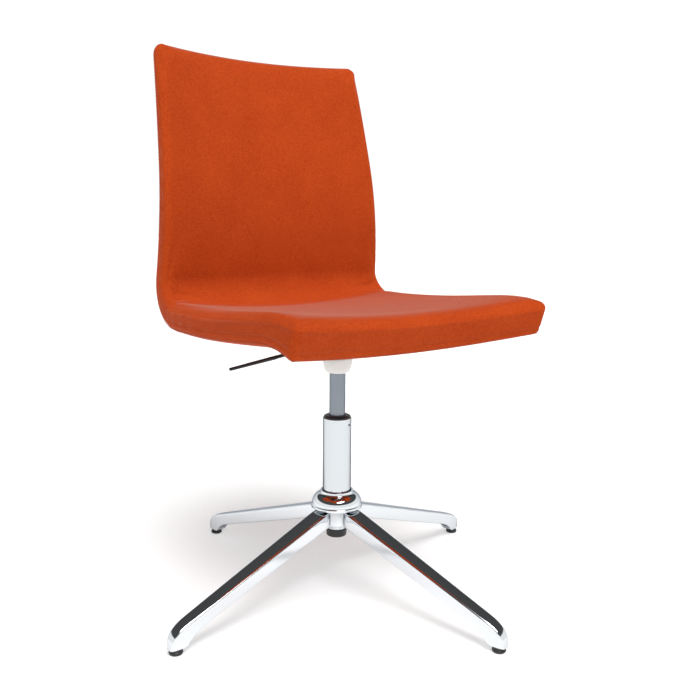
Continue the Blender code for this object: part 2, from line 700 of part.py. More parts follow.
def build_plate(seat, plate):
    """Seat plate and the mechanism box below it, in the plate's tilted frame."""
    outline = rounded_rectangle(PLATE_WIDTH, PLATE_DEPTH, PLATE_CORNER)
    bm = bmesh.new()
    loft(bm, [[(x, y, z) for x, y in outline] for z in (-PLATE, 0)])
    seat_plate = add_piece("seat_plate", bm, "black_enamelled_steel", plate)
    hole = ring_outline(0, BOLT_RADIUS + RUN, -PLATE - CUT, CUT)
    cut(seat_plate, plate_drill("plate_holes", plate, hole))

    top = -PLATE - GAP
    bottom = top - BOX_HEIGHT
    outer = rounded_rectangle(BOX_WIDTH, BOX_DEPTH, BOX_CORNER)
    inner = rounded_rectangle(BOX_WIDTH - 2 * BOX_WALL, BOX_DEPTH - 2 * BOX_WALL, BOX_CORNER - BOX_WALL)
    bm = bmesh.new()
    loft(bm, [
        [(x, y, bottom) for x, y in outer],
        [(x, y, top) for x, y in outer],
        [(x, y, top) for x, y in inner],
        [(x, y, bottom + BOX_WALL) for x, y in inner],
    ])
    box = add_piece("mechanism_box", bm, "black_enamelled_steel", plate)
    floor = PLATE_TOP + bottom
    opening = ring_outline(0, SOCKET_RADIUS + RUN, floor - CUT, floor + CUT)
    cut(box, turned("socket_opening", opening, "plain_steel", seat))

    slot = bmesh.new()
    slot_top = top + CUT
    slot_bottom = -PLATE - LEVER_DROP - 2 * LEVER_RADIUS
    bmesh.ops.create_cube(slot, size=1.0)
    bmesh.ops.scale(slot, vec=(2 * CUT, LEVER_SLOT, slot_top - slot_bottom), verts=slot.verts)
    middle = Vector((-BOX_WIDTH / 2, 0, (slot_top + slot_bottom) / 2))
    bmesh.ops.translate(slot, vec=middle, verts=slot.verts)
    cut(box, add_piece("lever_slot", slot, "plain_steel", plate))


def build_lever(seat, lever):
    """Pivot ears and pin on the seat, and the lever with its grip."""
    ear_near = LEVER_EYE_WIDTH / 2 + RUN
    for name, side in (("pivot_ear_front", -1), ("pivot_ear_rear", 1)):
        faces = (side * ear_near, side * (ear_near + EAR))
        low = LEVER_Z - EAR_REACH
        high = min(plate_under(y) for y in faces) - GAP
        bm = bmesh.new()
        rings = []
        for y in faces:
            rings.append([
                (LEVER_PIVOT_X + x * EAR_WIDTH / 2, y, z)
                for x, z in ((-1, low), (1, low), (1, high), (-1, high))
            ])
        loft(bm, rings)
        ear = add_piece(name, bm, "black_enamelled_steel", seat)
        drill = pivot_solid(name + "_hole", PIVOT_RADIUS + GAP, ear_near + EAR + CUT, seat)
        drill.location = (LEVER_PIVOT_X, 0, LEVER_Z)
        cut(ear, drill)
    pin = pivot_solid("pivot_pin", PIVOT_RADIUS, ear_near + EAR, seat)
    pin.location = (LEVER_PIVOT_X, 0, LEVER_Z)

    bend = LEVER_BEND_X - LEVER_PIVOT_X
    tip = LEVER_TIP_X - LEVER_PIVOT_X
    grip_start = tip + GRIP_LENGTH * math.cos(LEVER_SLOPE)
    fall = math.tan(LEVER_SLOPE)

    def on_slope(x):
        return Vector((x, 0, (x - bend) * fall))

    bm = bmesh.new()
    start = on_slope(grip_start)
    inner_end = Vector((-LEVER_PIVOT_X + LEVER_PAST, 0, 0))
    step = Vector((-GAP, 0, -GAP * fall))
    core_end = on_slope(tip + 2 * GRIP_TIP_RADIUS)
    path = [inner_end, Vector((bend, 0, 0)), start, start + step, core_end]
    swept(bm, path, [LEVER_RADIUS] * 3 + [GRIP_CORE_RADIUS] * 2, ROD_SIDES)
    rod = add_piece("lever_rod", bm, "black_enamelled_steel", lever)
    join(rod, pivot_solid("lever_eye", LEVER_EYE_RADIUS, LEVER_EYE_WIDTH / 2, lever))
    cut(rod, pivot_solid("lever_bore", PIVOT_RADIUS + RUN, LEVER_EYE_WIDTH, lever))

    root = start + 2 * step
    bore = GRIP_CORE_RADIUS + GAP
    path = [core_end + step, root, root, on_slope(tip + GRIP_TIP_RADIUS), on_slope(tip)]
    radii = [bore, bore, GRIP_ROOT_RADIUS, GRIP_TIP_RADIUS, GRIP_TIP_RADIUS / 2]
    bm = bmesh.new()
    swept(bm, path, radii, ROD_SIDES, step)
    add_piece("lever_grip", bm, "black_nylon", lever)


def pivot_solid(name, radius, half_length, parent):
    """Round bar along the lever's pivot axis, centred on the parent's origin."""
    angles = [2 * math.pi * side / SMALL_SIDES for side in range(SMALL_SIDES)]
    circle = [(radius * math.cos(angle), radius * math.sin(angle)) for angle in angles]
    bm = bmesh.new()
    loft(bm, [[(x, y, z) for x, z in circle] for y in (-half_length, half_length)])
    return add_piece(name, bm, "plain_steel", parent)


# Upholstered shell

BEND_LENGTH = BEND_RADIUS * (LUMBAR_ANGLE - SEAT_TILT)
STRETCHES = (
    (WATERFALL, WATERFALL_ANGLE, SEAT_TILT),
    (SEAT_LENGTH, SEAT_TILT, SEAT_TILT),
    (BEND_LENGTH, SEAT_TILT, LUMBAR_ANGLE),
    (BACK_LENGTH / 2, LUMBAR_ANGLE, BACK_ANGLE),
    (BACK_LENGTH / 2, BACK_ANGLE, TOP_ANGLE),
)
SHELL_LENGTH = sum(length for length, _, _ in STRETCHES)
MID_SEAT = WATERFALL + SEAT_LENGTH / 2
MID_BEND = WATERFALL + SEAT_LENGTH + BEND_LENGTH / 2
BACK_START = WATERFALL + SEAT_LENGTH + BEND_LENGTH
MID_BACK = BACK_START + BACK_LENGTH / 2
WIDTH_STATIONS = (
    (0, FRONT_HALF_WIDTH),
    (MID_SEAT, SEAT_HALF_WIDTH),
    (MID_BEND, BEND_HALF_WIDTH),
    (BACK_START + LUMBAR_PLACE * BACK_LENGTH, LUMBAR_HALF_WIDTH),
    (SHELL_LENGTH, TOP_HALF_WIDTH),
)
DISH_STATIONS = (
    (0, FRONT_DISH),
    (MID_SEAT, SEAT_DISH),
    (MID_BEND, BEND_DISH),
    (MID_BACK, BACK_DISH),
    (SHELL_LENGTH, TOP_DISH),
)
THICKNESS_STATIONS = (
    (0, FRONT_THICKNESS),
    (WATERFALL, SEAT_THICKNESS),
    (MID_SEAT, SEAT_THICKNESS),
    (MID_BEND, BEND_THICKNESS),
    (MID_BACK, BACK_THICKNESS),
    (SHELL_LENGTH, TOP_THICKNESS),
)


def profile_at(distance):
    """Follow the middle surface's profile: (y, z) from the front edge, and the heading there."""
    y = z = 0.0
    heading = STRETCHES[0][1]
    for length, begin, end in STRETCHES:
        part = min(distance, length)
        heading = begin + (end - begin) * part / length
        turn = heading - begin
        if abs(turn) < 1e-9:
            y += part * math.cos(begin)
            z += part * math.sin(begin)
        else:
            y += part * (math.sin(heading) - math.sin(begin)) / turn
            z += part * (math.cos(begin) - math.cos(heading)) / turn
        distance -= part
        if distance <= 0:
            break
    return y, z, heading


def eased(stations, distance):
    """Smooth value between stations, without overshoot."""
    slopes = [(b[1] - a[1]) / (b[0] - a[0]) for a, b in zip(stations, stations[1:])]
    tangents = [slopes[0]]
    for before, after in zip(slopes, slopes[1:]):
        tangents.append(0 if before * after <= 0 else 2 * before * after / (before + after))
    tangents.append(slopes[-1])
    for index, ((start, low), (end, high)) in enumerate(zip(stations, stations[1:])):
        if distance <= end:
            break
    span = end - start
    share = min(max((distance - start) / span, 0), 1)
    rise = low * (1 + 2 * share) * (1 - share) ** 2 + high * share ** 2 * (3 - 2 * share)
    lean = tangents[index] * share * (1 - share) ** 2 - tangents[index + 1] * share ** 2 * (1 - share)
    return rise + span * lean


def cornered(half_width, distance, corner):
    """Half width near an end of the outline, where a round corner draws it in."""
    short = min(max(corner - distance, 0), corner)
    return half_width - corner + math.sqrt(corner ** 2 - short ** 2)


def half_width_at(distance, inset=0.0):
    """Half width of the shell's outline, drawn in all round by an inset."""
    width = eased(WIDTH_STATIONS, distance) - inset
    front_corner = max(FRONT_CORNER - inset, inset)
    top_corner = max(TOP_CORNER - inset, inset)
    width = cornered(width, distance - inset, front_corner)
    return cornered(width, SHELL_LENGTH - inset - distance, top_corner)


def half_thickness(distance):
    """Half of the shell's thickness."""
    return eased(THICKNESS_STATIONS, distance) / 2


def underside(distance):
    """(y, z) of the shell's underside on its centre line, with z above the front edge."""
    y, z, heading = profile_at(distance)
    half = half_thickness(distance)
    return y - SEAT_REACH + half * math.sin(heading), z - half * math.cos(heading)


def seat_place():
    """Distance along the profile at which the underside crosses the column axis."""
    low, high = WATERFALL, WATERFALL + SEAT_LENGTH
    for _ in range(50):
        middle = (low + high) / 2
        if underside(middle)[0] < 0:
            low = middle
        else:
            high = middle
    return low


def plate_seat():
    """Height on the column axis of the tilted plane that the underside rests on, over the plate."""
    heights = []
    samples = 8
    for step in range(samples + 1):
        y, z = underside(SEAT_PLACE + PLATE_DEPTH * (step / samples - 0.5))
        heights.append(z - y * math.tan(SEAT_TILT))
    return min(heights)


SEAT_PLACE = seat_place()
FRONT_EDGE_Z = PLATE_TOP + GAP - plate_seat()


def shell_point(distance, x, offset):
    """Point at a distance along the shell, a place across it, and an offset towards the sitter."""
    y, z, heading = profile_at(distance)
    across = min(abs(x) / eased(WIDTH_STATIONS, distance), 1.0)
    rise = offset + eased(DISH_STATIONS, distance) * across ** 2
    front = max(1 - distance / BOW_FADE, 0)
    top = max(1 - (SHELL_LENGTH - distance) / BOW_FADE, 0)
    slide = (TOP_BOW * top - FRONT_BOW * front) * (1 - across ** 2)
    return Vector((
        x,
        y - SEAT_REACH + slide * math.cos(heading) - rise * math.sin(heading),
        z + FRONT_EDGE_Z + slide * math.sin(heading) + rise * math.cos(heading),
    ))


def edge_steps(radius):
    """Distances from an edge at which a round edge has its rows of points."""
    return [radius * (1 - math.cos(angle)) for angle in (0, math.pi / 4, math.pi / 2)]


def layer_grid(inset, offset):
    """Grid of points over the shell.

    inset draws the outline in, and offset gives the height towards the sitter for a distance
    along the shell and a depth inside its outline.
    """
    edge = EDGE_RADIUS - inset
    steps = edge_steps(edge)
    first, last = inset, SHELL_LENGTH - inset
    rows = [first + step for step in steps]
    begin = 0.0
    for (length, _, _), count in zip(STRETCHES, SHELL_ROWS):
        for step in range(count):
            distance = begin + length * step / count
            if 2 * EDGE_RADIUS < distance < SHELL_LENGTH - 2 * EDGE_RADIUS:
                rows.append(distance)
        begin += length
    rows += [last - step for step in reversed(steps)]
    shares = [2 * k / (SHELL_COLUMNS + 1) - 1 for k in range(1, SHELL_COLUMNS + 1)]
    grid = []
    for row, distance in enumerate(rows):
        width = half_width_at(distance, inset)
        flat = width - steps[-1]
        places = [-width + step for step in steps]
        places += [flat * share for share in shares]
        places += [width - step for step in reversed(steps)]
        from_end = steps[min(row, len(rows) - 1 - row, len(steps) - 1)]
        points = []
        for column, x in enumerate(places):
            from_side = steps[min(column, len(places) - 1 - column, len(steps) - 1)]
            depth = inset + min(from_end, from_side)
            points.append(shell_point(distance, x, offset(distance, depth)))
        grid.append(points)
    return grid


def grid_border(grid):
    """Points round a grid's border, in order."""
    border = list(grid[0])
    border += [row[-1] for row in grid[1:-1]]
    border += list(reversed(grid[-1]))
    border += [row[0] for row in reversed(grid[1:-1])]
    return border


def add_grid(bm, grid):
    """Add a grid's faces, split alike in every layer, and return its border vertices in order."""
    rows = [[bm.verts.new(point) for point in row] for row in grid]
    for row, following in zip(rows, rows[1:]):
        for column in range(len(row) - 1):
            corners = [row[column], row[column + 1], following[column + 1], following[column]]
            if column < len(row) // 2:
                corners = corners[1:] + corners[:1]
            bm.faces.new(corners[:3])
            bm.faces.new((corners[0], corners[2], corners[3]))
    return grid_border(rows)


def closed_layer(name, grids, rims, finish_name, parent):
    """Solid between two grids of the same count, with loops of rim points between their borders."""
    bm = bmesh.new()
    first, second = [add_grid(bm, grid) for grid in grids]
    loops = [first] + [[bm.verts.new(point) for point in rim] for rim in rims] + [second]
    for loop, following in zip(loops, loops[1:]):
        for step in range(len(loop)):
            after = (step + 1) % len(loop)
            bm.faces.new((loop[step], loop[after], following[after], following[step]))
    return add_piece(name, bm, finish_name, parent)


def edge_height(distance, depth, ease):
    """Height of a surface with a round edge, that lies by ease inside the cover's outer face."""
    radius = EDGE_RADIUS - ease
    short = max(EDGE_RADIUS - depth, 0)
    return half_thickness(distance) - EDGE_RADIUS + math.sqrt(max(radius ** 2 - short ** 2, 0))


def level(height):
    """Offset that is the same all over a layer."""
    return lambda distance, depth: height


def rounded(side, ease):
    """Offset that follows the cover's round edge on one side of the shell."""
    return lambda distance, depth: side * edge_height(distance, depth, ease)


def cover(name, side, parent):
    """Fabric cover over the sitter's side (side 1) or over the back and underside (side -1)."""
    rim = level(side * GAP / 2)
    grids = (layer_grid(0.0, rounded(side, 0.0)), layer_grid(FABRIC, rounded(side, FABRIC)))
    rims = (grid_border(layer_grid(0.0, rim)), grid_border(layer_grid(FABRIC, rim)))
    return closed_layer(name, grids, rims, "orange_wool", parent)


def foam(name, side, parent):
    """Foam between a cover and the plywood."""
    outer = rounded(side, FABRIC + FOAM_EASE)
    inner = level(side * (PLYWOOD / 2 + GAP))
    grids = (layer_grid(FOAM_INSET, outer), layer_grid(FOAM_INSET, inner))
    return closed_layer(name, grids, (), "seat_foam", parent)


def plywood(parent):
    """Moulded plywood shell."""
    faces = (PLYWOOD / 2, -PLYWOOD / 2)
    grids = [layer_grid(PLYWOOD_INSET, level(height)) for height in faces]
    return closed_layer("plywood_shell", grids, (), "birch_plywood", parent)


def build_shell(seat, plate):
    """Plywood, foam and covers, with the bolts and tee nuts that hold the seat plate."""
    rear_cover = cover("rear_cover", -1, seat)
    rear_foam = foam("rear_foam", -1, seat)
    shell = plywood(seat)
    front_foam = foam("front_foam", 1, seat)
    cover("front_cover", 1, seat)

    share = BOLT_SPREAD_X / half_width_at(SEAT_PLACE)
    reach = (SEAT_PLACE - BOLT_SPREAD_Y, SEAT_PLACE + BOLT_SPREAD_Y)
    dishes = [eased(DISH_STATIONS, distance) * share ** 2 for distance in reach]
    middle = FRONT_EDGE_Z + underside(SEAT_PLACE)[1] - PLATE_TOP + half_thickness(SEAT_PLACE)
    ply_low = middle - PLYWOOD / 2 + min(dishes)
    ply_high = middle + PLYWOOD / 2 + max(dishes)
    lean = NUT_FLANGE_RADIUS * 2 * max(dishes) / BOLT_SPREAD_X
    nut_seat = ply_high + lean + NUT_EASE
    nut_top = nut_seat + NUT_FLANGE
    nut_bottom = ply_low + PLYWOOD / 3
    bolt_hole = ring_outline(0, BOLT_RADIUS + RUN, -CUT, ply_high)
    barrel_hole = ring_outline(0, NUT_BARREL_RADIUS + RUN, -CUT, nut_top + CUT)
    flange_hole = ring_outline(0, NUT_FLANGE_RADIUS + RUN, ply_low, nut_top + GAP)
    bolt_holes = plate_drill("bolt_holes", plate, bolt_hole)
    cut(rear_cover, bolt_holes)
    cut(rear_foam, bolt_holes)
    cut(shell, plate_drill("barrel_holes", plate, barrel_hole))
    cut(front_foam, plate_drill("flange_holes", plate, flange_hole))

    washer_top = -PLATE - GAP
    head_top = washer_top - BOLT_WASHER - GAP
    for number, place in enumerate(bolt_places(), start=1):
        bolt = turned(f"bolt_{number}", [
            (0, head_top - BOLT_HEAD),
            (BOLT_HEAD_FLAT, head_top - BOLT_HEAD),
            (BOLT_HEAD_RADIUS, head_top - BOLT_HEAD / 3),
            (BOLT_HEAD_RADIUS, head_top),
            (BOLT_RADIUS, head_top),
            (BOLT_RADIUS, nut_top),
            (0, nut_top),
        ], "plain_steel", plate, SMALL_SIDES)
        washer = turned(f"bolt_washer_{number}", ring_outline(
            BOLT_RADIUS + RUN, BOLT_WASHER_RADIUS, washer_top - BOLT_WASHER, washer_top,
        ), "plain_steel", plate, SMALL_SIDES)
        nut = turned(f"tee_nut_{number}", [
            (BOLT_RADIUS + RUN, nut_bottom),
            (NUT_BARREL_RADIUS, nut_bottom),
            (NUT_BARREL_RADIUS, nut_seat),
            (NUT_FLANGE_RADIUS, nut_seat),
            (NUT_FLANGE_RADIUS, nut_top),
            (BOLT_RADIUS + RUN, nut_top),
        ], "plain_steel", plate, SMALL_SIDES)
        for piece in (bolt, washer, nut):
            piece.location = (*place, 0)


def main():
    """Build the chair."""
    clear_scene()
    base = add_axis("base_frame")
    spindle = add_axis("swivel_axis")
    seat = add_axis("lift_axis")
    valve = add_axis("valve_axis")
    plate = add_axis("plate_frame", (0, 0, PLATE_TOP), (SEAT_TILT, 0, 0))
    lever = add_axis("lever_axis", (LEVER_PIVOT_X, 0, LEVER_Z))

    build_base(base)
    build_column(base)
    build_spindle(spindle)
    build_gas_spring(seat, valve)
    build_socket(seat)
    build_plate(seat, plate)
    build_lever(seat, lever)
    build_shell(seat, plate)


main()
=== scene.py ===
"""Looks of a visitor chair: an upholstered shell on a gas column with a polished star base.

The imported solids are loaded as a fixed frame, and the pieces that show are built round them with
finer meshes and procedural finishes. Units are metres and +Z is up. The chair faces -Y, and the
sitter's right hand, with the height lever, is on the -X side.
"""

import json
import logging
import math
from dataclasses import dataclass
from enum import Enum
from typing import Any, Sequence

import bmesh
import bpy
from mathutils import Matrix, Vector


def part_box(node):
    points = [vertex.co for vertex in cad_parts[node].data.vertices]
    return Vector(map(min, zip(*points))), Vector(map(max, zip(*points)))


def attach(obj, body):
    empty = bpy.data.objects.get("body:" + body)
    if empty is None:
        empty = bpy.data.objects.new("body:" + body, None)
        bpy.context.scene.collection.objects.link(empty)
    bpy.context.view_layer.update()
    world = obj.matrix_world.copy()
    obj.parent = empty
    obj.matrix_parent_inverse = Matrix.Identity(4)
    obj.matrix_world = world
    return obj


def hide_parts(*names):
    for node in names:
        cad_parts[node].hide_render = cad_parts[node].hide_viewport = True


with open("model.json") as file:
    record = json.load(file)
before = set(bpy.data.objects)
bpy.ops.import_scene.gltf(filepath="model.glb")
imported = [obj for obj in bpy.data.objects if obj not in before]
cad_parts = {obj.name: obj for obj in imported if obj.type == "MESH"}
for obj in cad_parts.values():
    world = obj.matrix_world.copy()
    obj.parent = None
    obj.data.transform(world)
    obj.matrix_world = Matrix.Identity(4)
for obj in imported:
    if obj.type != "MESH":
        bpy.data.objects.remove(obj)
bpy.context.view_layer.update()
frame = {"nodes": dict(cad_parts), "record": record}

LOG = logging.getLogger("visitor_chair")

Point = tuple[float, float, float]
Outline = Sequence[tuple[float, float, float]]

WHITE = (1.0, 1.0, 1.0, 1.0)

# Steps round turned pieces, from the small glides to the wide hub
SMALL_SIDES = 48
ROUND_SIDES = 96
FINE_SIDES = 128

# Fillets, from a barely broken edge to a soft one
BROKEN = 0.0004
FINE = 0.0006
SMALL = 0.0008
PLAIN = 0.0010
ROUND = 0.0012
SOFT = 0.0022
FILLET_STEPS = 5
FILLET_MOST = 0.49      # share of a side that a fillet may take


class Body(Enum):
    """Moving bodies of the chair, named as in the record."""

    BASE = "base"
    SPINDLE = "spindle"
    SEAT = "seat"
    LEVER = "lever"
    VALVE = "valve"


# Shared helpers


def linear(code: str) -> tuple[float, float, float, float]:
    """Turn an sRGB hex colour into the linear colour that a shader takes.

    Args:
        code: six hex digits, with or without a leading #.

    Returns:
        Linear red, green and blue, with an alpha of 1.
    """
    digits = code.lstrip("#")
    channels = [int(digits[start:start + 2], 16) / 255 for start in (0, 2, 4)]
    parts = [c / 12.92 if c <= 0.04045 else ((c + 0.055) / 1.055) ** 2.4 for c in channels]
    return (parts[0], parts[1], parts[2], 1.0)


def per_metre(size_mm: float) -> float:
    """Texture scale that gives features of a size in millimetres."""
    return 1000.0 / size_mm


def add_node(
    tree: bpy.types.NodeTree,
    kind: str,
    settings: dict[str, Any] | None = None,
    inputs: dict[Any, Any] | None = None,
) -> bpy.types.Node:
    """Add a node with its settings and its inputs.

    Args:
        tree: node tree that gets the node.
        kind: Blender's name for the type of node.
        settings: attributes to set on the node.
        inputs: socket name or index, with a value to set or an output socket to link.

    Returns:
        The new node.
    """
    node = tree.nodes.new(kind)
    for name, value in (settings or {}).items():
        setattr(node, name, value)
    for key, value in (inputs or {}).items():
        socket = node.inputs[key]
        if isinstance(value, bpy.types.NodeSocket):
            tree.links.new(value, socket)
        else:
            socket.default_value = value
    return node


def add_object(name: str, bm: bmesh.types.BMesh) -> bpy.types.Object:
    """Make a smooth-shaded object at the origin from a bmesh, with its faces out.

    Args:
        name: name of the piece.
        bm: mesh to use, which is freed.

    Returns:
        The new object.
    """
    bmesh.ops.recalc_face_normals(bm, faces=bm.faces)
    mesh = bpy.data.meshes.new(name)
    bm.to_mesh(mesh)
    bm.free()
    mesh.shade_smooth()
    piece = bpy.data.objects.new(name, mesh)
    bpy.context.scene.collection.objects.link(piece)
    return piece


def bake_modifiers(piece: bpy.types.Object) -> None:
    """Turn a piece's evaluated shape into its plain mesh, and drop its modifiers."""
    graph = bpy.context.evaluated_depsgraph_get()
    graph.update()
    evaluated = piece.evaluated_get(graph)
    baked = bpy.data.meshes.new_from_object(evaluated, depsgraph=graph)
    piece.modifiers.clear()
    piece.data = baked


def subdivide(piece: bpy.types.Object, levels: int) -> None:
    """Smooth a piece's mesh by subdivision, and keep the result as its mesh."""
    smooth = piece.modifiers.new("smooth", "SUBSURF")
    smooth.levels = levels
    smooth.render_levels = levels
    bake_modifiers(piece)


def skin(bm: bmesh.types.BMesh, rings: Sequence[Sequence[Point]], capped: bool = True) -> None:
    """Skin closed rings of points in order.

    Args:
        bm: mesh that gets the faces.
        rings: rings with the same number of points.
        capped: whether both ends are closed.
    """
    rows = [[bm.verts.new(point) for point in ring] for ring in rings]
    for row, following in zip(rows, rows[1:]):
        for step in range(len(row)):
            after = (step + 1) % len(row)
            bm.faces.new((row[step], row[after], following[after], following[step]))
    if capped:
        bm.faces.new(rows[0])
        bm.faces.new(rows[-1])


def filleted(outline: Outline) -> list[tuple[float, float]]:
    """Round the corners of a closed outline.

    Args:
        outline: (radius, height, fillet) corners, in order.

    Returns:
        (radius, height) points of the rounded outline.
    """
    points: list[tuple[float, float]] = []
    for index, (radius, height, fillet) in enumerate(outline):
        corner = Vector((radius, height))
        if fillet <= 0:
            points.append((radius, height))
            continue
        before = Vector(outline[index - 1][:2]) - corner
        after = Vector(outline[(index + 1) % len(outline)][:2]) - corner
        reach = min(fillet, before.length * FILLET_MOST, after.length * FILLET_MOST)
        start = corner + before.normalized() * reach
        end = corner + after.normalized() * reach
        for step in range(FILLET_STEPS + 1):
            share = step / FILLET_STEPS
            point = start.lerp(corner, share).lerp(corner.lerp(end, share), share)
            points.append((point.x, point.y))
    return points


def turned(
    name: str,
    outline: Outline,
    sides: int = ROUND_SIDES,
    centre: tuple[float, float] = (0.0, 0.0),
) -> bpy.types.Object:
    """Turn a closed outline about an upright line, as on a lathe.

    Args:
        name: name of the piece.
        outline: (radius, height, fillet) corners, in order.
        sides: steps round the axis.
        centre: place of the axis.

    Returns:
        The turned piece.
    """
    bm = bmesh.new()
    rings = []
    for radius, height in filleted(outline):
        if radius <= 0:
            rings.append([bm.verts.new((centre[0], centre[1], height))])
            continue
        angles = [2 * math.pi * step / sides for step in range(sides)]
        rings.append([
            bm.verts.new((centre[0] + radius * math.cos(a), centre[1] + radius * math.sin(a), height))
            for a in angles
        ])
    for ring, following in zip(rings, rings[1:] + rings[:1]):
        for step in range(sides):
            after = (step + 1) % sides
            corners = [
                ring[step % len(ring)],
                ring[after % len(ring)],
                following[after % len(following)],
                following[step % len(following)],
            ]
            corners = list(dict.fromkeys(corners))
            if len(corners) > 2:
                bm.faces.new(corners)
    return add_object(name, bm)


# Finishes


@dataclass(frozen=True)
class Finish:
    """A real material with its look; each kind adds its own pattern nodes."""

    name: str
    slot: str
    colour: str
    roughness: float
    metallic: float = 0.0

    def material(self) -> bpy.types.Material:
        """Return the material, made on first use."""
        found = bpy.data.materials.get(self.name)
        if found:
            return found
        made = bpy.data.materials.new(self.name)
        made.use_nodes = True
        tree = made.node_tree
        shader = tree.nodes["Principled BSDF"]
        shader.inputs["Base Color"].default_value = linear(self.colour)
        shader.inputs["Roughness"].default_value = self.roughness
        shader.inputs["Metallic"].default_value = self.metallic
        self.pattern(tree, shader)
        return made

    def pattern(self, tree: bpy.types.NodeTree, shader: bpy.types.Node) -> None:
        """Add the nodes that give this finish its detail."""

    def wear(self, piece: bpy.types.Object) -> None:
        """Dress a piece in this finish."""
        piece.data.materials.clear()
        piece.data.materials.append(self.material())


@dataclass(frozen=True)
class FeltedWool(Finish):
    """Melton-like upholstery wool: fulled, so soft yarn flecks show more than the weave."""

    light: str = "#C8541E"
    dark: str = "#7E2508"
    fleck_mm: float = 3.0       # real yarn flecks are near 1 mm, drawn coarser so that they show
    thread_mm: float = 2.0      # real thread spacing is near 1 mm, drawn coarser so that it shows
    mottle_mm: float = 60.0
    mottle: float = 0.25        # share of the broad patches beside the flecks
    darkest: float = 0.36       # noise level that shows fully dark
    lightest: float = 0.90
    heather: float = 0.42       # share of the fleck colours over the plain colour
    weave: float = 0.35         # height of the threads beside that of the flecks
    thread_waver: float = 1.2
    nap_depth: float = 0.0005
    nap_strength: float = 0.55
    gleam: float = 0.1          # specular level, low because fibres scatter
    sheen: float = 0.36
    sheen_roughness: float = 0.22
    sheen_tint: str = "#FFF2E8"

    def pattern(self, tree: bpy.types.NodeTree, shader: bpy.types.Node) -> None:
        """Heathered colour, a twill of two thread directions and a soft nap."""
        coords = add_node(tree, "ShaderNodeTexCoord")
        place = coords.outputs["Object"]
        fleck = add_node(tree, "ShaderNodeTexNoise", inputs={
            "Vector": place, "Scale": per_metre(self.fleck_mm), "Detail": 3.0, "Roughness": 0.65,
        })
        mottle = add_node(tree, "ShaderNodeTexNoise", inputs={
            "Vector": place, "Scale": per_metre(self.mottle_mm), "Detail": 2.0,
        })
        blend = add_node(tree, "ShaderNodeMath", {"operation": "MULTIPLY_ADD"}, {
            0: mottle.outputs["Fac"], 1: self.mottle, 2: fleck.outputs["Fac"],
        })
        level = add_node(tree, "ShaderNodeMapRange", inputs={
            "Value": blend.outputs[0], "From Min": self.darkest, "From Max": self.lightest,
        })
        yarn = add_node(tree, "ShaderNodeMix", {"data_type": "RGBA"}, {
            0: level.outputs[0], 6: linear(self.dark), 7: linear(self.light),
        })
        tint = add_node(tree, "ShaderNodeMix", {"data_type": "RGBA"}, {
            0: self.heather, 6: linear(self.colour), 7: yarn.outputs[2],
        })
        tree.links.new(tint.outputs[2], shader.inputs["Base Color"])

        # A wave texture's bands lie 2 pi / 20 apart at a scale of 1.
        waves = 2 * math.pi / 20 * per_metre(self.thread_mm)
        threads = []
        for direction in ("X", "Y"):
            threads.append(add_node(tree, "ShaderNodeTexWave", {"bands_direction": direction}, {
                "Vector": coords.outputs["UV"], "Scale": waves,
                "Distortion": self.thread_waver, "Detail": 1.0,
            }))
        weave = add_node(tree, "ShaderNodeMath", {"operation": "MAXIMUM"}, {
            0: threads[0].outputs["Fac"], 1: threads[1].outputs["Fac"],
        })
        nap = add_node(tree, "ShaderNodeMath", {"operation": "MULTIPLY_ADD"}, {
            0: weave.outputs[0], 1: self.weave, 2: fleck.outputs["Fac"],
        })
        bump = add_node(tree, "ShaderNodeBump", inputs={
            "Height": nap.outputs[0], "Strength": self.nap_strength, "Distance": self.nap_depth,
        })
        tree.links.new(bump.outputs["Normal"], shader.inputs["Normal"])
        shader.inputs["Specular IOR Level"].default_value = self.gleam
        shader.inputs["Sheen Weight"].default_value = self.sheen
        shader.inputs["Sheen Roughness"].default_value = self.sheen_roughness
        shader.inputs["Sheen Tint"].default_value = linear(self.sheen_tint)


@dataclass(frozen=True)
class PolishedMetal(Finish):
    """Bright metal: reflections waver a little where a wheel polished it, with hazy patches."""

    haze_mm: float = 30.0
    haze: float = 0.03
    haze_start: float = 0.35        # noise level where the haze sets in
    haze_full: float = 0.75
    ripple_mm: float = 22.0
    ripple: float = 0.00004
    rim: str = "#8E949C"            # tone of reflections that graze the surface

    def pattern(self, tree: bpy.types.NodeTree, shader: bpy.types.Node) -> None:
        """Hazy patches in the gloss, a shallow ripple and a darker rim."""
        shader.inputs["Specular Tint"].default_value = linear(self.rim)
        coords = add_node(tree, "ShaderNodeTexCoord")
        patches = add_node(tree, "ShaderNodeTexNoise", inputs={
            "Vector": coords.outputs["Object"], "Scale": per_metre(self.haze_mm), "Detail": 3.0,
        })
        gloss = add_node(tree, "ShaderNodeMapRange", inputs={
            "Value": patches.outputs["Fac"],
            "From Min": self.haze_start,
            "From Max": self.haze_full,
            "To Min": self.roughness,
            "To Max": self.roughness + self.haze,
        })
        tree.links.new(gloss.outputs[0], shader.inputs["Roughness"])
        waver = add_node(tree, "ShaderNodeTexNoise", inputs={
            "Vector": coords.outputs["Object"], "Scale": per_metre(self.ripple_mm), "Detail": 1.0,
        })
        bump = add_node(tree, "ShaderNodeBump", inputs={
            "Height": waver.outputs["Fac"], "Strength": 1.0, "Distance": self.ripple,
        })
        tree.links.new(bump.outputs["Normal"], shader.inputs["Normal"])


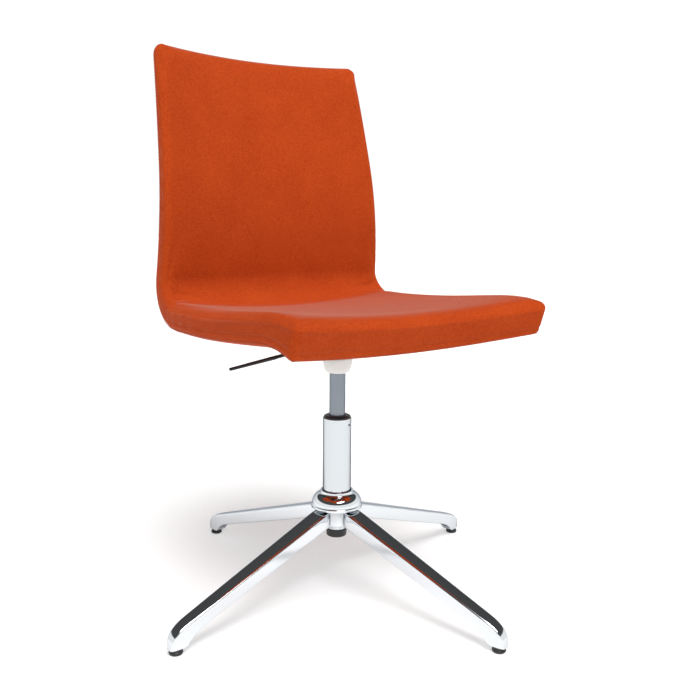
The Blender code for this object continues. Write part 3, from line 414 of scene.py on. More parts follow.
@dataclass(frozen=True)
class GrainedSurface(Finish):
    """Moulded or coated surface: a fine even grain, with slight changes of tone."""

    tone: str = "#202022"
    grain_mm: float = 0.8
    grain: float = 0.00008
    grain_strength: float = 0.6
    gloss_spread: float = 0.06
    tone_mm: float = 14.0

    def pattern(self, tree: bpy.types.NodeTree, shader: bpy.types.Node) -> None:
        """Fine grain in the bump, and soft patches of tone and gloss."""
        coords = add_node(tree, "ShaderNodeTexCoord")
        place = coords.outputs["Object"]
        patches = add_node(tree, "ShaderNodeTexNoise", inputs={
            "Vector": place, "Scale": per_metre(self.tone_mm), "Detail": 3.0,
        })
        tint = add_node(tree, "ShaderNodeMix", {"data_type": "RGBA"}, {
            0: patches.outputs["Fac"], 6: linear(self.colour), 7: linear(self.tone),
        })
        tree.links.new(tint.outputs[2], shader.inputs["Base Color"])
        gloss = add_node(tree, "ShaderNodeMapRange", inputs={
            "Value": patches.outputs["Fac"],
            "To Min": self.roughness - self.gloss_spread,
            "To Max": self.roughness + self.gloss_spread,
        })
        tree.links.new(gloss.outputs[0], shader.inputs["Roughness"])
        grain = add_node(tree, "ShaderNodeTexNoise", inputs={
            "Vector": place, "Scale": per_metre(self.grain_mm), "Detail": 2.0,
        })
        bump = add_node(tree, "ShaderNodeBump", inputs={
            "Height": grain.outputs["Fac"], "Strength": self.grain_strength, "Distance": self.grain,
        })
        tree.links.new(bump.outputs["Normal"], shader.inputs["Normal"])


@dataclass(frozen=True)
class BirchVeneer(Finish):
    """Sanded birch: pale, with faint stretched grain lines."""

    grain: str = "#A9855A"
    grain_mm: float = 3.0
    stretch: float = 0.06

    def pattern(self, tree: bpy.types.NodeTree, shader: bpy.types.Node) -> None:
        """Grain lines that run from the seat up the back."""
        coords = add_node(tree, "ShaderNodeTexCoord")
        long_way = add_node(tree, "ShaderNodeMapping", inputs={
            "Vector": coords.outputs["Object"], "Scale": (1.0, self.stretch, self.stretch),
        })
        lines = add_node(tree, "ShaderNodeTexNoise", inputs={
            "Vector": long_way.outputs[0], "Scale": per_metre(self.grain_mm), "Detail": 4.0,
        })
        tint = add_node(tree, "ShaderNodeMix", {"data_type": "RGBA"}, {
            0: lines.outputs["Fac"], 6: linear(self.colour), 7: linear(self.grain),
        })
        tree.links.new(tint.outputs[2], shader.inputs["Base Color"])


# Orange felted wool, woven and fulled: matt, with light and dark yarn flecks.
WOOL = FeltedWool("felted_wool_orange", "orange_wool", "#A5380D", 0.92)
# Polyester sewing thread, dyed to the wool: a little smoother and darker.
THREAD = GrainedSurface("sewing_thread_orange", "orange_wool", "#9C3A16", 0.7, tone="#B04A22")
# Die-cast aluminium, ground and mirror polished: bright, with slightly wavering reflections.
POLISHED = PolishedMetal(
    "mirror_polished_aluminium", "polished_aluminium", "#DCE0E3", 0.02, 1.0,
)
# Bright chrome plate on drawn steel tube: the clearest reflections on the chair.
CHROME = PolishedMetal(
    "chromed_steel_tube", "chromed_steel", "#CBD0D3", 0.03, 1.0, haze=0.02, ripple=0.00002,
    rim="#3A4048",
)
# Zinc-plated steel of bolts, washers and shafts: bright grey with a cloudy gloss.
ZINC = PolishedMetal("zinc_plated_steel", "plain_steel", "#B9BBC0", 0.26, 1.0, haze=0.12)
# Grey baked enamel on the ground cylinder of the gas spring: glossy, with upright streaks of light.
CYLINDER_GREY = PolishedMetal(
    "grey_enamelled_cylinder", "grey_enamelled_steel", "#858C94", 0.22, 0.7, haze=0.04,
    ripple=0.00001, rim="#3A4048",
)
# Black powder coat: semi-matt, with the slight orange peel of baked powder.
POWDER_BLACK = GrainedSurface(
    "black_powder_coat", "black_enamelled_steel", "#141415", 0.42, tone="#1B1B1D", grain_mm=1.6,
)
# Black nylon, injection moulded: matt with a spark-eroded grain.
NYLON = GrainedSurface("black_moulded_nylon", "black_nylon", "#101011", 0.48, tone="#19191A")
# Black rubber buffer: dull and dusty.
RUBBER = GrainedSurface("dull_black_rubber", "black_rubber", "#161616", 0.85, tone="#222222")
# Natural polypropylene cover: satin off-white.
POLYPROPYLENE = GrainedSurface(
    "satin_white_polypropylene", "white_polypropylene", "#E2E1DE", 0.36, tone="#DBDAD6",
)
# Cut polyurethane foam inside the covers: pale yellow and open-celled.
FOAM = GrainedSurface("cut_foam", "seat_foam", "#E5DAB4", 0.95, tone="#D8CA9A", grain_mm=2.0)
# Moulded birch plywood inside the shell.
BIRCH = BirchVeneer("sanded_birch_plywood", "birch_plywood", "#D2B48A", 0.6)

FINISHES: tuple[Finish, ...] = (
    WOOL, POLISHED, CHROME, ZINC, CYLINDER_GREY, POWDER_BLACK, NYLON, RUBBER, POLYPROPYLENE, FOAM,
    BIRCH,
)


def dress(piece: bpy.types.Object, finish: Finish, body: Body, *nodes: str) -> bpy.types.Object:
    """Finish a piece, put it on its body and let it stand for solids of the frame.

    Args:
        piece: piece in its place.
        finish: its finish.
        body: body that it moves with.
        nodes: solids that it replaces.

    Returns:
        The same piece.
    """
    finish.wear(piece)
    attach(piece, body.value)
    if nodes:
        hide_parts(*nodes)
    LOG.info("%s: %d faces on %s", piece.name, len(piece.data.polygons), body.value)
    return piece


# Upholstered shell


@dataclass
class ShellForm:
    """Form of the upholstered shell, by distance from the front edge to the top edge."""

    reach: float = 0.2390           # front edge ahead of the column
    waterfall: float = 0.0865       # turned-down front
    waterfall_angle: float = math.radians(18.0)
    seat: float = 0.2980
    seat_tilt: float = math.radians(-3.0)
    bend_radius: float = 0.0810
    lumbar_angle: float = math.radians(93.5)
    back: float = 0.3955
    back_angle: float = math.radians(79.8)
    top_angle: float = math.radians(77.1)
    half_widths: tuple[float, ...] = (0.2500, 0.2500, 0.2395, 0.2330, 0.2130)
    dishes: tuple[float, ...] = (0.0210, 0.0150, 0.0220, 0.0305, 0.0310)
    thicknesses: tuple[float, ...] = (0.0655, 0.0510, 0.0510, 0.0480, 0.0395, 0.0350)
    lumbar_place: float = 0.12      # share of the back's length
    front_bow: float = -0.0235
    top_bow: float = 0.0010
    bow_fade: float = 0.100
    front_corner: float = 0.0110
    top_corner: float = 0.0175
    edge: float = 0.0150
    lift: float = 0.0               # height of the front edge's middle
    least_turn: float = 1e-9        # a stretch that turns less is straight

    def __post_init__(self) -> None:
        """Work out the stretches of the profile and the stations along it."""
        bend = self.bend_radius * (self.lumbar_angle - self.seat_tilt)
        self.stretches = (
            (self.waterfall, self.waterfall_angle, self.seat_tilt),
            (self.seat, self.seat_tilt, self.seat_tilt),
            (bend, self.seat_tilt, self.lumbar_angle),
            (self.back / 2, self.lumbar_angle, self.back_angle),
            (self.back / 2, self.back_angle, self.top_angle),
        )
        self.length = sum(stretch[0] for stretch in self.stretches)
        mid_seat = self.waterfall + self.seat / 2
        mid_bend = self.waterfall + self.seat + bend / 2
        back_start = self.waterfall + self.seat + bend
        lumbar = back_start + self.lumbar_place * self.back
        mid_back = back_start + self.back / 2
        self.width_stations = (0.0, mid_seat, mid_bend, lumbar, self.length)
        self.dish_stations = (0.0, mid_seat, mid_bend, mid_back, self.length)
        self.padding_stations = (0.0, self.waterfall, mid_seat, mid_bend, mid_back, self.length)

    def profile(self, distance: float) -> tuple[float, float, float]:
        """Follow the middle surface's profile.

        Args:
            distance: length along the profile from the front edge.

        Returns:
            y and z from the front edge, and the heading there.
        """
        y = z = 0.0
        heading = self.waterfall_angle
        for length, begin, end in self.stretches:
            part = min(distance, length)
            heading = begin + (end - begin) * part / length
            turn = heading - begin
            if abs(turn) < self.least_turn:
                y += part * math.cos(begin)
                z += part * math.sin(begin)
            else:
                y += part * (math.sin(heading) - math.sin(begin)) / turn
                z += part * (math.cos(begin) - math.cos(heading)) / turn
            distance -= part
            if distance <= 0:
                break
        return y, z, heading

    @staticmethod
    def eased(stations: Sequence[float], values: Sequence[float], distance: float) -> float:
        """Smooth value between stations, without overshoot.

        Args:
            stations: distances along the profile.
            values: value at each station.
            distance: where the value is wanted.

        Returns:
            The value there.
        """
        slopes = [
            (values[k + 1] - values[k]) / (stations[k + 1] - stations[k])
            for k in range(len(values) - 1)
        ]
        tangents = [slopes[0]]
        for before, after in zip(slopes, slopes[1:]):
            tangents.append(0.0 if before * after <= 0 else 2 * before * after / (before + after))
        tangents.append(slopes[-1])
        index = 0
        while index < len(values) - 2 and distance > stations[index + 1]:
            index += 1
        span = stations[index + 1] - stations[index]
        t = min(max((distance - stations[index]) / span, 0.0), 1.0)
        rise = values[index] * (1 + 2 * t) * (1 - t) ** 2 + values[index + 1] * t * t * (3 - 2 * t)
        lean = tangents[index] * t * (1 - t) ** 2 - tangents[index + 1] * t * t * (1 - t)
        return rise + span * lean

    def half_width(self, distance: float) -> float:
        """Half width of the outline, with its round corners."""
        width = self.eased(self.width_stations, self.half_widths, distance)
        for corner, from_end in (
            (self.front_corner, distance),
            (self.top_corner, self.length - distance),
        ):
            short = min(max(corner - from_end, 0.0), corner)
            width += math.sqrt(corner ** 2 - short ** 2) - corner
        return width

    def half_thickness(self, distance: float) -> float:
        """Half of the padded thickness."""
        return self.eased(self.padding_stations, self.thicknesses, distance) / 2

    def point(self, distance: float, x: float, offset: float) -> Vector:
        """Point of the shell.

        Args:
            distance: length along the profile.
            x: place across the shell.
            offset: height over the middle surface, towards the sitter.

        Returns:
            The point in the chair's frame.
        """
        y, z, heading = self.profile(distance)
        wide = self.eased(self.width_stations, self.half_widths, distance)
        across = min(abs(x) / wide, 1.0)
        rise = offset + self.eased(self.dish_stations, self.dishes, distance) * across ** 2
        front = max(1 - distance / self.bow_fade, 0.0)
        top = max(1 - (self.length - distance) / self.bow_fade, 0.0)
        slide = (self.top_bow * top - self.front_bow * front) * (1 - across ** 2)
        return Vector((
            x,
            y - self.reach + slide * math.cos(heading) - rise * math.sin(heading),
            z + self.lift + slide * math.sin(heading) + rise * math.cos(heading),
        ))

    def edge_height(self, distance: float, depth: float) -> float:
        """Height of the cover over the middle surface, at a depth inside the outline."""
        short = max(self.edge - depth, 0.0)
        drop = self.edge - math.sqrt(max(self.edge ** 2 - short ** 2, 0.0))
        return self.half_thickness(distance) - drop


@dataclass
class Upholstery:
    """Padded covers of the shell, with the seam that joins the front and the rear panel."""

    form: ShellForm
    spacing: float = 0.0090         # mesh spacing over the faces
    edge_steps: int = 8             # rows round each padded edge
    slack: float = 0.0012           # covers start this much inside the form before they are filled
    swell: float = 0.0026           # furthest that the filling pushes the cloth out
    pressure: float = 4.0
    frames: int = 20
    cloth_quality: int = 5
    cloth_mass: float = 0.3
    stretch_stiffness: float = 25.0
    bend_stiffness: float = 2.0
    seam_depth: float = 0.0016
    band_steps: int = 8             # rows down the side band between the padded edges
    crease_columns: tuple[int, ...] = (1, 4)        # points of each edge that pull in, from the band
    crease_depth: float = 0.00045
    crease_start: float = 0.045     # from the front edge
    crease_end: float = 0.360
    crease_shift: float = 0.5       # each further crease is deepest nearer the rear
    stitch_pitch: float = 0.0052
    stitch_length: float = 0.0036
    stitch_radius: float = 0.00045
    stitch_sides: int = 8
    stitch_inset: int = 4           # points of the rear panel's edge outside the stitches
    held_width: float = 0.110       # half size of the part that the seat plate holds flat
    held_depth: float = 0.095

    def __post_init__(self) -> None:
        """Set the form to the height of the frame's solids, and lay out the mesh."""
        self.steps = [
            self.form.edge * (1 - math.cos(math.pi / 2 * step / self.edge_steps))
            for step in range(self.edge_steps + 1)
        ]
        first, last = self.steps[-1], self.form.length - self.steps[-1]
        count = round((last - first) / self.spacing)
        inner_rows = [first + (last - first) * k / count for k in range(1, count)]
        self.rows = [(s, s) for s in self.steps]
        self.rows += [(distance, self.form.edge) for distance in inner_rows]
        self.rows += [(self.form.length - s, s) for s in reversed(self.steps)]
        self.columns = 2 * round(max(self.form.half_widths) / self.spacing)
        tallest = max(point.z for row in self.grid(1) + self.grid(-1) for point in row)
        self.form.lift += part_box("front_cover")[1].z - tallest

    def places(self, distance: float) -> list[tuple[float, float]]:
        """Places across one row of the mesh.

        Args:
            distance: length along the profile.

        Returns:
            x and the depth inside the outline, from side to side.
        """
        width = self.form.half_width(distance)
        flat = width - self.steps[-1]
        inner = [flat * (2 * k / self.columns - 1) for k in range(1, self.columns)]
        left = [(-width + s, s) for s in self.steps]
        right = [(width - s, s) for s in reversed(self.steps)]
        return left + [(x, self.form.edge) for x in inner] + right

    def grid(self, side: int) -> list[list[Vector]]:
        """Points of the front (side 1) or rear (side -1) panel."""
        points = []
        for distance, from_end in self.rows:
            row = []
            for x, from_side in self.places(distance):
                height = self.form.edge_height(distance, min(from_end, from_side))
                row.append(self.form.point(distance, x, side * (height - self.slack)))
            points.append(row)
        return points

    @staticmethod
    def border(rows: Sequence[Sequence[Any]]) -> list[Any]:
        """Items round the border of a grid, in order."""
        loop = list(rows[0]) + [row[-1] for row in rows[1:-1]]
        return loop + list(reversed(rows[-1])) + [row[0] for row in reversed(rows[1:-1])]

    def padded_mesh(self) -> tuple[bpy.types.Object, list[int], list[int]]:
        """Build the closed cover as one mesh.

        Returns:
            The cover, the vertices that stay in place while it is filled, and the seam's vertices.
        """
        bm = bmesh.new()
        sheets = []
        for side in (1, -1):
            sheets.append([[bm.verts.new(p) for p in row] for row in self.grid(side)])
        for rows in sheets:
            for row, following in zip(rows, rows[1:]):
                for k in range(len(row) - 1):
                    bm.faces.new((row[k], row[k + 1], following[k + 1], following[k]))
        front, rear = (self.border(rows) for rows in sheets)
        loops = [front]
        for step in range(1, self.band_steps):
            share = step / self.band_steps
            loops.append([bm.verts.new(a.co.lerp(b.co, share)) for a, b in zip(front, rear)])
        loops.append(rear)
        for loop, following in zip(loops, loops[1:]):
            for k in range(len(loop)):
                after = (k + 1) % len(loop)
                bm.faces.new((loop[k], loop[after], following[after], following[k]))
        bm.verts.index_update()
        seam = [vert.index for vert in rear]
        held = {vert.index for loop in loops for vert in loop}
        margin = self.edge_steps
        for number, row in enumerate(sheets[1]):
            at_end = number <= margin or number >= len(sheets[1]) - 1 - margin
            for place, vert in enumerate(row):
                at_side = place <= margin or place >= len(row) - 1 - margin
                on_plate = abs(vert.co.x) < self.held_width and abs(vert.co.y) < self.held_depth
                if at_end or at_side or on_plate:
                    held.add(vert.index)
        uv = bm.loops.layers.uv.new("weave")
        lengths = {}
        for rows in sheets:
            for (distance, _), row in zip(self.rows, rows):
                for vert in row:
                    lengths[vert] = distance
        for face in bm.faces:
            for loop in face.loops:
                distance = lengths.get(loop.vert, loop.vert.co.y + loop.vert.co.z)
                loop[uv].uv = (loop.vert.co.x, distance)
        return add_object("upholstered_shell", bm), sorted(held), seam

    def fill(self, cover: bpy.types.Object, held: list[int]) -> None:
        """Fill the cover with a cloth simulation, and keep the result as its mesh.

        Args:
            cover: closed cover.
            held: vertices that stay in place.
        """
        start = [vert.co.copy() for vert in cover.data.vertices]
        group = cover.vertex_groups.new(name="held")
        group.add(held, 1.0, "REPLACE")
        cloth = cover.modifiers.new("filling", "CLOTH")
        settings = cloth.settings
        settings.vertex_group_mass = group.name
        settings.use_pressure = True
        settings.uniform_pressure_force = self.pressure
        settings.effector_weights.gravity = 0.0
        settings.quality = self.cloth_quality
        settings.mass = self.cloth_mass
        settings.tension_stiffness = self.stretch_stiffness
        settings.compression_stiffness = self.stretch_stiffness
        settings.bending_stiffness = self.bend_stiffness
        cloth.point_cache.frame_start = 1
        cloth.point_cache.frame_end = self.frames
        scene = bpy.context.scene
        for number in range(1, self.frames + 1):
            scene.frame_set(number)
        bake_modifiers(cover)
        scene.frame_set(1)
        cover.vertex_groups.clear()
        for vert, place in zip(cover.data.vertices, start):
            move = vert.co - place
            if move.length > self.swell:
                vert.co = place + move.normalized() * self.swell

    def sew(self, cover: bpy.types.Object, seam: list[int]) -> None:
        """Draw the seam in between the two panels.

        Args:
            cover: filled cover.
            seam: vertices of the seam.
        """
        normals = [vert.normal.copy() for vert in cover.data.vertices]
        for index in seam:
            cover.data.vertices[index].co -= normals[index] * self.seam_depth

    def crease(self, cover: bpy.types.Object) -> None:
        """Pull shallow creases in along the seat's side edges, where the cloth is drawn round them.

        Args:
            cover: filled cover, whose first vertices are the front panel's rows in order.
        """
        count = self.columns + 1 + 2 * self.edge_steps
        verts = cover.data.vertices
        normals = [vert.normal.copy() for vert in verts]
        for row, (distance, _) in enumerate(self.rows):
            share = (distance - self.crease_start) / (self.crease_end - self.crease_start)
            if not 0.0 < share < 1.0:
                continue
            for number, column in enumerate(self.crease_columns):
                bias = 1 + self.crease_shift * number
                pull = self.crease_depth * math.sin(math.pi * share ** bias) ** 2
                for place in (column, count - 1 - column):
                    index = row * count + place
                    verts[index].co -= normals[index] * pull

    def stitch_line(self) -> bpy.types.Object:
        """Closed line on the rear panel, beside the seam, that the stitches follow."""
        bm = bmesh.new()
        rows = self.grid(-1)
        inset = self.stitch_inset
        inner = [row[inset:-inset] for row in rows[inset:-inset]]
        middle = [self.form.point(d, 0.0, 0.0) for d, _ in self.rows[inset:-inset]]
        for row, centre in zip(inner, middle):
            for k, point in enumerate(row):
                row[k] = point + (point - centre).normalized() * self.stitch_radius * 2
        loop = [bm.verts.new(point) for point in self.border(inner)]
        for vert, after in zip(loop, loop[1:] + loop[:1]):
            bm.edges.new((vert, after))
        return add_object("seam_stitches", bm)

    def stitch_tree(self) -> bpy.types.NodeTree:
        """Geometry Nodes that lay a stitch at each step along a line."""
        tree = bpy.data.node_groups.new("stitches", "GeometryNodeTree")
        tree.interface.new_socket("Line", in_out="INPUT", socket_type="NodeSocketGeometry")
        for name in ("Pitch", "Length", "Radius"):
            tree.interface.new_socket(name, in_out="INPUT", socket_type="NodeSocketFloat")
        tree.interface.new_socket("Thread", in_out="INPUT", socket_type="NodeSocketMaterial")
        tree.interface.new_socket("Stitches", in_out="OUTPUT", socket_type="NodeSocketGeometry")
        given = add_node(tree, "NodeGroupInput").outputs
        curve = add_node(tree, "GeometryNodeMeshToCurve", inputs={"Mesh": given["Line"]})
        spaced = add_node(tree, "GeometryNodeResampleCurve", {"mode": "LENGTH"}, {
            "Curve": curve.outputs[0], "Length": given["Pitch"],
        })
        tangent = add_node(tree, "GeometryNodeInputTangent")
        turn = add_node(tree, "FunctionNodeAlignRotationToVector", {"axis": "Z"}, {
            "Vector": tangent.outputs[0],
        })
        shank = add_node(tree, "GeometryNodeMeshCylinder", {"fill_type": "TRIANGLE_FAN"}, {
            "Vertices": self.stitch_sides, "Radius": given["Radius"], "Depth": given["Length"],
        })
        placed = add_node(tree, "GeometryNodeInstanceOnPoints", inputs={
            "Points": spaced.outputs[0],
            "Instance": shank.outputs["Mesh"],
            "Rotation": turn.outputs[0],
        })
        real = add_node(tree, "GeometryNodeRealizeInstances", inputs={0: placed.outputs[0]})
        coloured = add_node(tree, "GeometryNodeSetMaterial", inputs={
            "Geometry": real.outputs[0], "Material": given["Thread"],
        })
        add_node(tree, "NodeGroupOutput", inputs={"Stitches": coloured.outputs[0]})
        return tree

    def stitches(self) -> bpy.types.Object:
        """Stitches beside the seam, all round the rear panel."""
        line = self.stitch_line()
        tree = self.stitch_tree()
        maker = line.modifiers.new("stitches", "NODES")
        maker.node_group = tree
        values = {
            "Pitch": self.stitch_pitch,
            "Length": self.stitch_length,
            "Radius": self.stitch_radius,
            "Thread": THREAD.material(),
        }
        for item in tree.interface.items_tree:
            if item.in_out == "INPUT" and item.name in values:
                maker[item.identifier] = values[item.name]
        bake_modifiers(line)
        return line

    def build(self) -> None:
        """Build the covers and their stitches, and put them on the seat."""
        cover, held, seam = self.padded_mesh()
        self.fill(cover, held)
        self.sew(cover, seam)
        self.crease(cover)
        subdivide(cover, 1)
        dress(
            cover, WOOL, Body.SEAT,
            "front_cover", "rear_cover", "front_foam", "rear_foam",
        )
        dress(self.stitches(), THREAD, Body.SEAT)


# Star base


@dataclass
class StarBase:
    """Hub with four polished arms, each on a plug-in glide."""

    arms: int = 4
    heading: float = math.radians(9.9)
    glide_circle: float = 0.3485
    nose: float = 0.0125            # arm beyond the glide's axis
    nose_length: float = 0.032
    foot_reach: float = 0.0125      # foot inward of the glide's axis
    foot_slope: float = 0.012
    end_top: float = 0.0468
    nose_lip: float = 0.0060
    root_width: float = 0.0355
    tip_width: float = 0.0250
    end_width: float = 0.0190
    root_depth: float = 0.0270
    tip_depth: float = 0.0235
    top_edge: float = 0.0036
    top_edge_most: tuple[float, float] = (0.48, 0.8)        # of the depth and of the half width
    top_edge_steps: int = 6
    low_edge: float = 0.0020
    low_edge_most: tuple[float, float] = (0.3, 0.4)
    low_edge_steps: int = 3
    crown: float = 0.0005
    crown_places: tuple[float, ...] = (0.66, 0.33)          # shares of the half width
    under_places: tuple[float, ...] = (0.5, 0.0, -0.5)
    straight_steps: int = 18
    nose_steps: int = 18
    nose_taper_start: float = 0.7   # share of the nose where its sides round in
    nose_taper: float = 0.30        # share of the width that they take off
    root_sink: float = 0.0010       # arm's root inside the boss
    boss_radius: float = 0.0270
    shoulder: float = 0.0063
    flange_radius: float = 0.0455
    flange_top: float = 0.1528
    flange: float = 0.0062
    collar_radius: float = 0.0290
    collar: float = 0.0050
    hub_edge: float = 0.0015
    dome_steps: int = 12
    collar_round: float = 0.0022
    flange_round: float = 0.0018
    tube_bore: float = 0.0253
    tube_seat: float = 0.0080       # depth of the tube's bore
    neck_bore_high: float = 0.0213
    neck_bore_low: float = 0.0191
    glide_radius: float = 0.0110
    glide_waist: float = 0.86       # share of the radius above the groove
    glide_groove: tuple[float, float] = (0.55, 0.70)        # shares of the height
    glide_chamfer: float = 0.0012
    glide_rise: float = 0.0016
    stem_radius: float = 0.0040
    stem_clearance: float = 0.0003
    clearance: float = 0.0002

    def __post_init__(self) -> None:
        """Take the heights from the frame's solids."""
        self.hub_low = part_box("hub")[0].z
        self.hub_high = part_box("hub")[1].z
        self.glide_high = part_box("glide_foot_1")[1].z
        self.foot = self.glide_high + self.clearance
        self.root_top = self.flange_top - self.flange - self.clearance
        self.end = self.glide_circle + self.nose
        self.nose_start = self.end - self.nose_length
        self.shoulder_radius = self.boss_radius + self.shoulder

    def top(self, radius: float) -> float:
        """Height of the arm's straight top at a radius."""
        share = (radius - self.shoulder_radius) / (self.nose_start - self.shoulder_radius)
        return self.root_top + max(share, 0.0) * (self.end_top - self.root_top)

    def section(self, radius: float, top: float, low: float, width: float) -> list[Point]:
        """Upright section of an arm along +X.

        Args:
            radius: distance from the column.
            top: height of the top.
            low: height of the underside.
            width: width of the section.

        Returns:
            Points round the section.
        """
        half = width / 2
        depth = top - low
        upper = min(self.top_edge, depth * self.top_edge_most[0], half * self.top_edge_most[1])
        lower = min(self.low_edge, depth * self.low_edge_most[0], half * self.low_edge_most[1])
        flat = half - upper
        right = []
        for step in range(self.low_edge_steps + 1):
            angle = (step / self.low_edge_steps - 1) * math.pi / 2
            right.append((half - lower + lower * math.cos(angle), low + lower + lower * math.sin(angle)))
        for step in range(self.top_edge_steps + 1):
            angle = step / self.top_edge_steps * math.pi / 2
            right.append((flat + upper * math.cos(angle), top - upper + upper * math.sin(angle)))
        for share in self.crown_places:
            right.append((flat * share, top + self.crown * (1 - share ** 2)))
        middle = [(0.0, top + self.crown)]
        left = [(-y, z) for y, z in reversed(right)]
        base = [(-(half - lower) * share, low) for share in self.under_places]
        return [(radius, y, z) for y, z in right + middle + left + base]

    def arm_rings(self) -> list[list[Point]]:
        """Sections of one arm along +X, from the hub to its rounded end."""
        stations = []
        root = self.boss_radius - self.root_sink
        for step in range(self.straight_steps + 1):
            radius = root + (self.nose_start - root) * step / self.straight_steps
            stations.append((radius, self.top(radius)))
        lip = self.foot + self.nose_lip
        for step in range(1, self.nose_steps + 1):
            t = step / self.nose_steps
            early, middle, late = (1 - t) ** 2, 2 * t * (1 - t), t * t
            radius = early * self.nose_start + (middle + late) * self.end
            stations.append((radius, early * self.end_top + middle * self.top(self.end) + late * lip))
        rings = []
        foot_start = self.glide_circle - self.foot_reach
        for radius, top in stations:
            share = (radius - self.boss_radius) / (self.nose_start - self.boss_radius)
            share = min(max(share, 0.0), 1.0)
            width = self.root_width + share * (self.tip_width - self.root_width)
            past = max(radius - self.nose_start, 0.0) / self.nose_length
            width += (self.end_width - self.tip_width) * past
            tapered = max(past - self.nose_taper_start, 0.0) / (1 - self.nose_taper_start)
            width *= 1 - self.nose_taper * tapered ** 2
            depth = self.root_depth + share * (self.tip_depth - self.root_depth)
            under = self.top(radius) - depth
            drop = min(max((radius - foot_start + self.foot_slope) / self.foot_slope, 0.0), 1.0)
            drop = drop * drop * (3 - 2 * drop)
            rings.append(self.section(radius, top, under + drop * (self.foot - under), width))
        return rings

    def build_arm(self, number: int) -> None:
        """Build one arm and its glide.

        Args:
            number: arm's number, from 1.
        """
        heading = self.heading + (number - 1) * 2 * math.pi / self.arms
        bm = bmesh.new()
        skin(bm, self.arm_rings())
        bm.transform(Matrix.Rotation(heading, 4, "Z"))
        arm = add_object(f"polished_arm_{number}", bm)
        subdivide(arm, 1)
        dress(arm, POLISHED, Body.BASE, f"arm_{number}")

        centre = (self.glide_circle * math.cos(heading), self.glide_circle * math.sin(heading))
        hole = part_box(f"glide_stem_{number}")[0].z
        groove_low, groove_high = (self.glide_high * share for share in self.glide_groove)
        waist = self.glide_radius * self.glide_waist
        bore = self.stem_radius + self.stem_clearance
        glide = turned(f"glide_{number}", (
            (0.0, 0.0, 0.0),
            (self.glide_radius - self.glide_chamfer, 0.0, PLAIN),
            (self.glide_radius, self.glide_rise, PLAIN),
            (self.glide_radius, groove_low, SMALL),
            (waist, groove_high, SMALL),
            (waist, self.glide_high, BROKEN),
            (bore, self.glide_high, 0.0),
            (bore, hole, 0.0),
            (0.0, hole, 0.0),
        ), SMALL_SIDES, centre)
        dress(glide, NYLON, Body.BASE, f"glide_foot_{number}")

    def build_hub(self) -> None:
        """Build the hub with its collar, dome and flange."""
        dome_top = self.hub_high - self.hub_edge - self.collar
        under = self.flange_top - self.flange
        reach = self.flange_radius - self.hub_edge - self.collar_radius
        dome = []
        for step in range(1, self.dome_steps):
            angle = step / self.dome_steps * math.pi / 2
            dome.append((
                self.collar_radius + reach * math.sin(angle),
                self.flange_top + (dome_top - self.flange_top) * math.cos(angle),
                0.0,
            ))
        seat = self.hub_high - self.tube_seat
        hub = turned("hub_casting", (
            (self.tube_bore, self.hub_high, 0.0),
            (self.collar_radius, self.hub_high, self.collar_round),
            (self.collar_radius, dome_top, 0.0),
            *dome,
            (self.flange_radius - self.hub_edge, self.flange_top, 0.0),
            (self.flange_radius, self.flange_top - self.hub_edge, SMALL),
            (self.flange_radius, under, self.flange_round),
            (self.boss_radius, under, 0.0),
            (self.boss_radius, self.hub_low, self.hub_edge),
            (self.neck_bore_low, self.hub_low, 0.0),
            (self.neck_bore_high, seat, 0.0),
            (self.tube_bore, seat, 0.0),
        ), FINE_SIDES)
        dress(hub, POLISHED, Body.BASE, "hub")

    def build(self) -> None:
        """Build the hub, the arms and the glides."""
        self.build_hub()
        for number in range(1, self.arms + 1):
            self.build_arm(number)


# Gas column


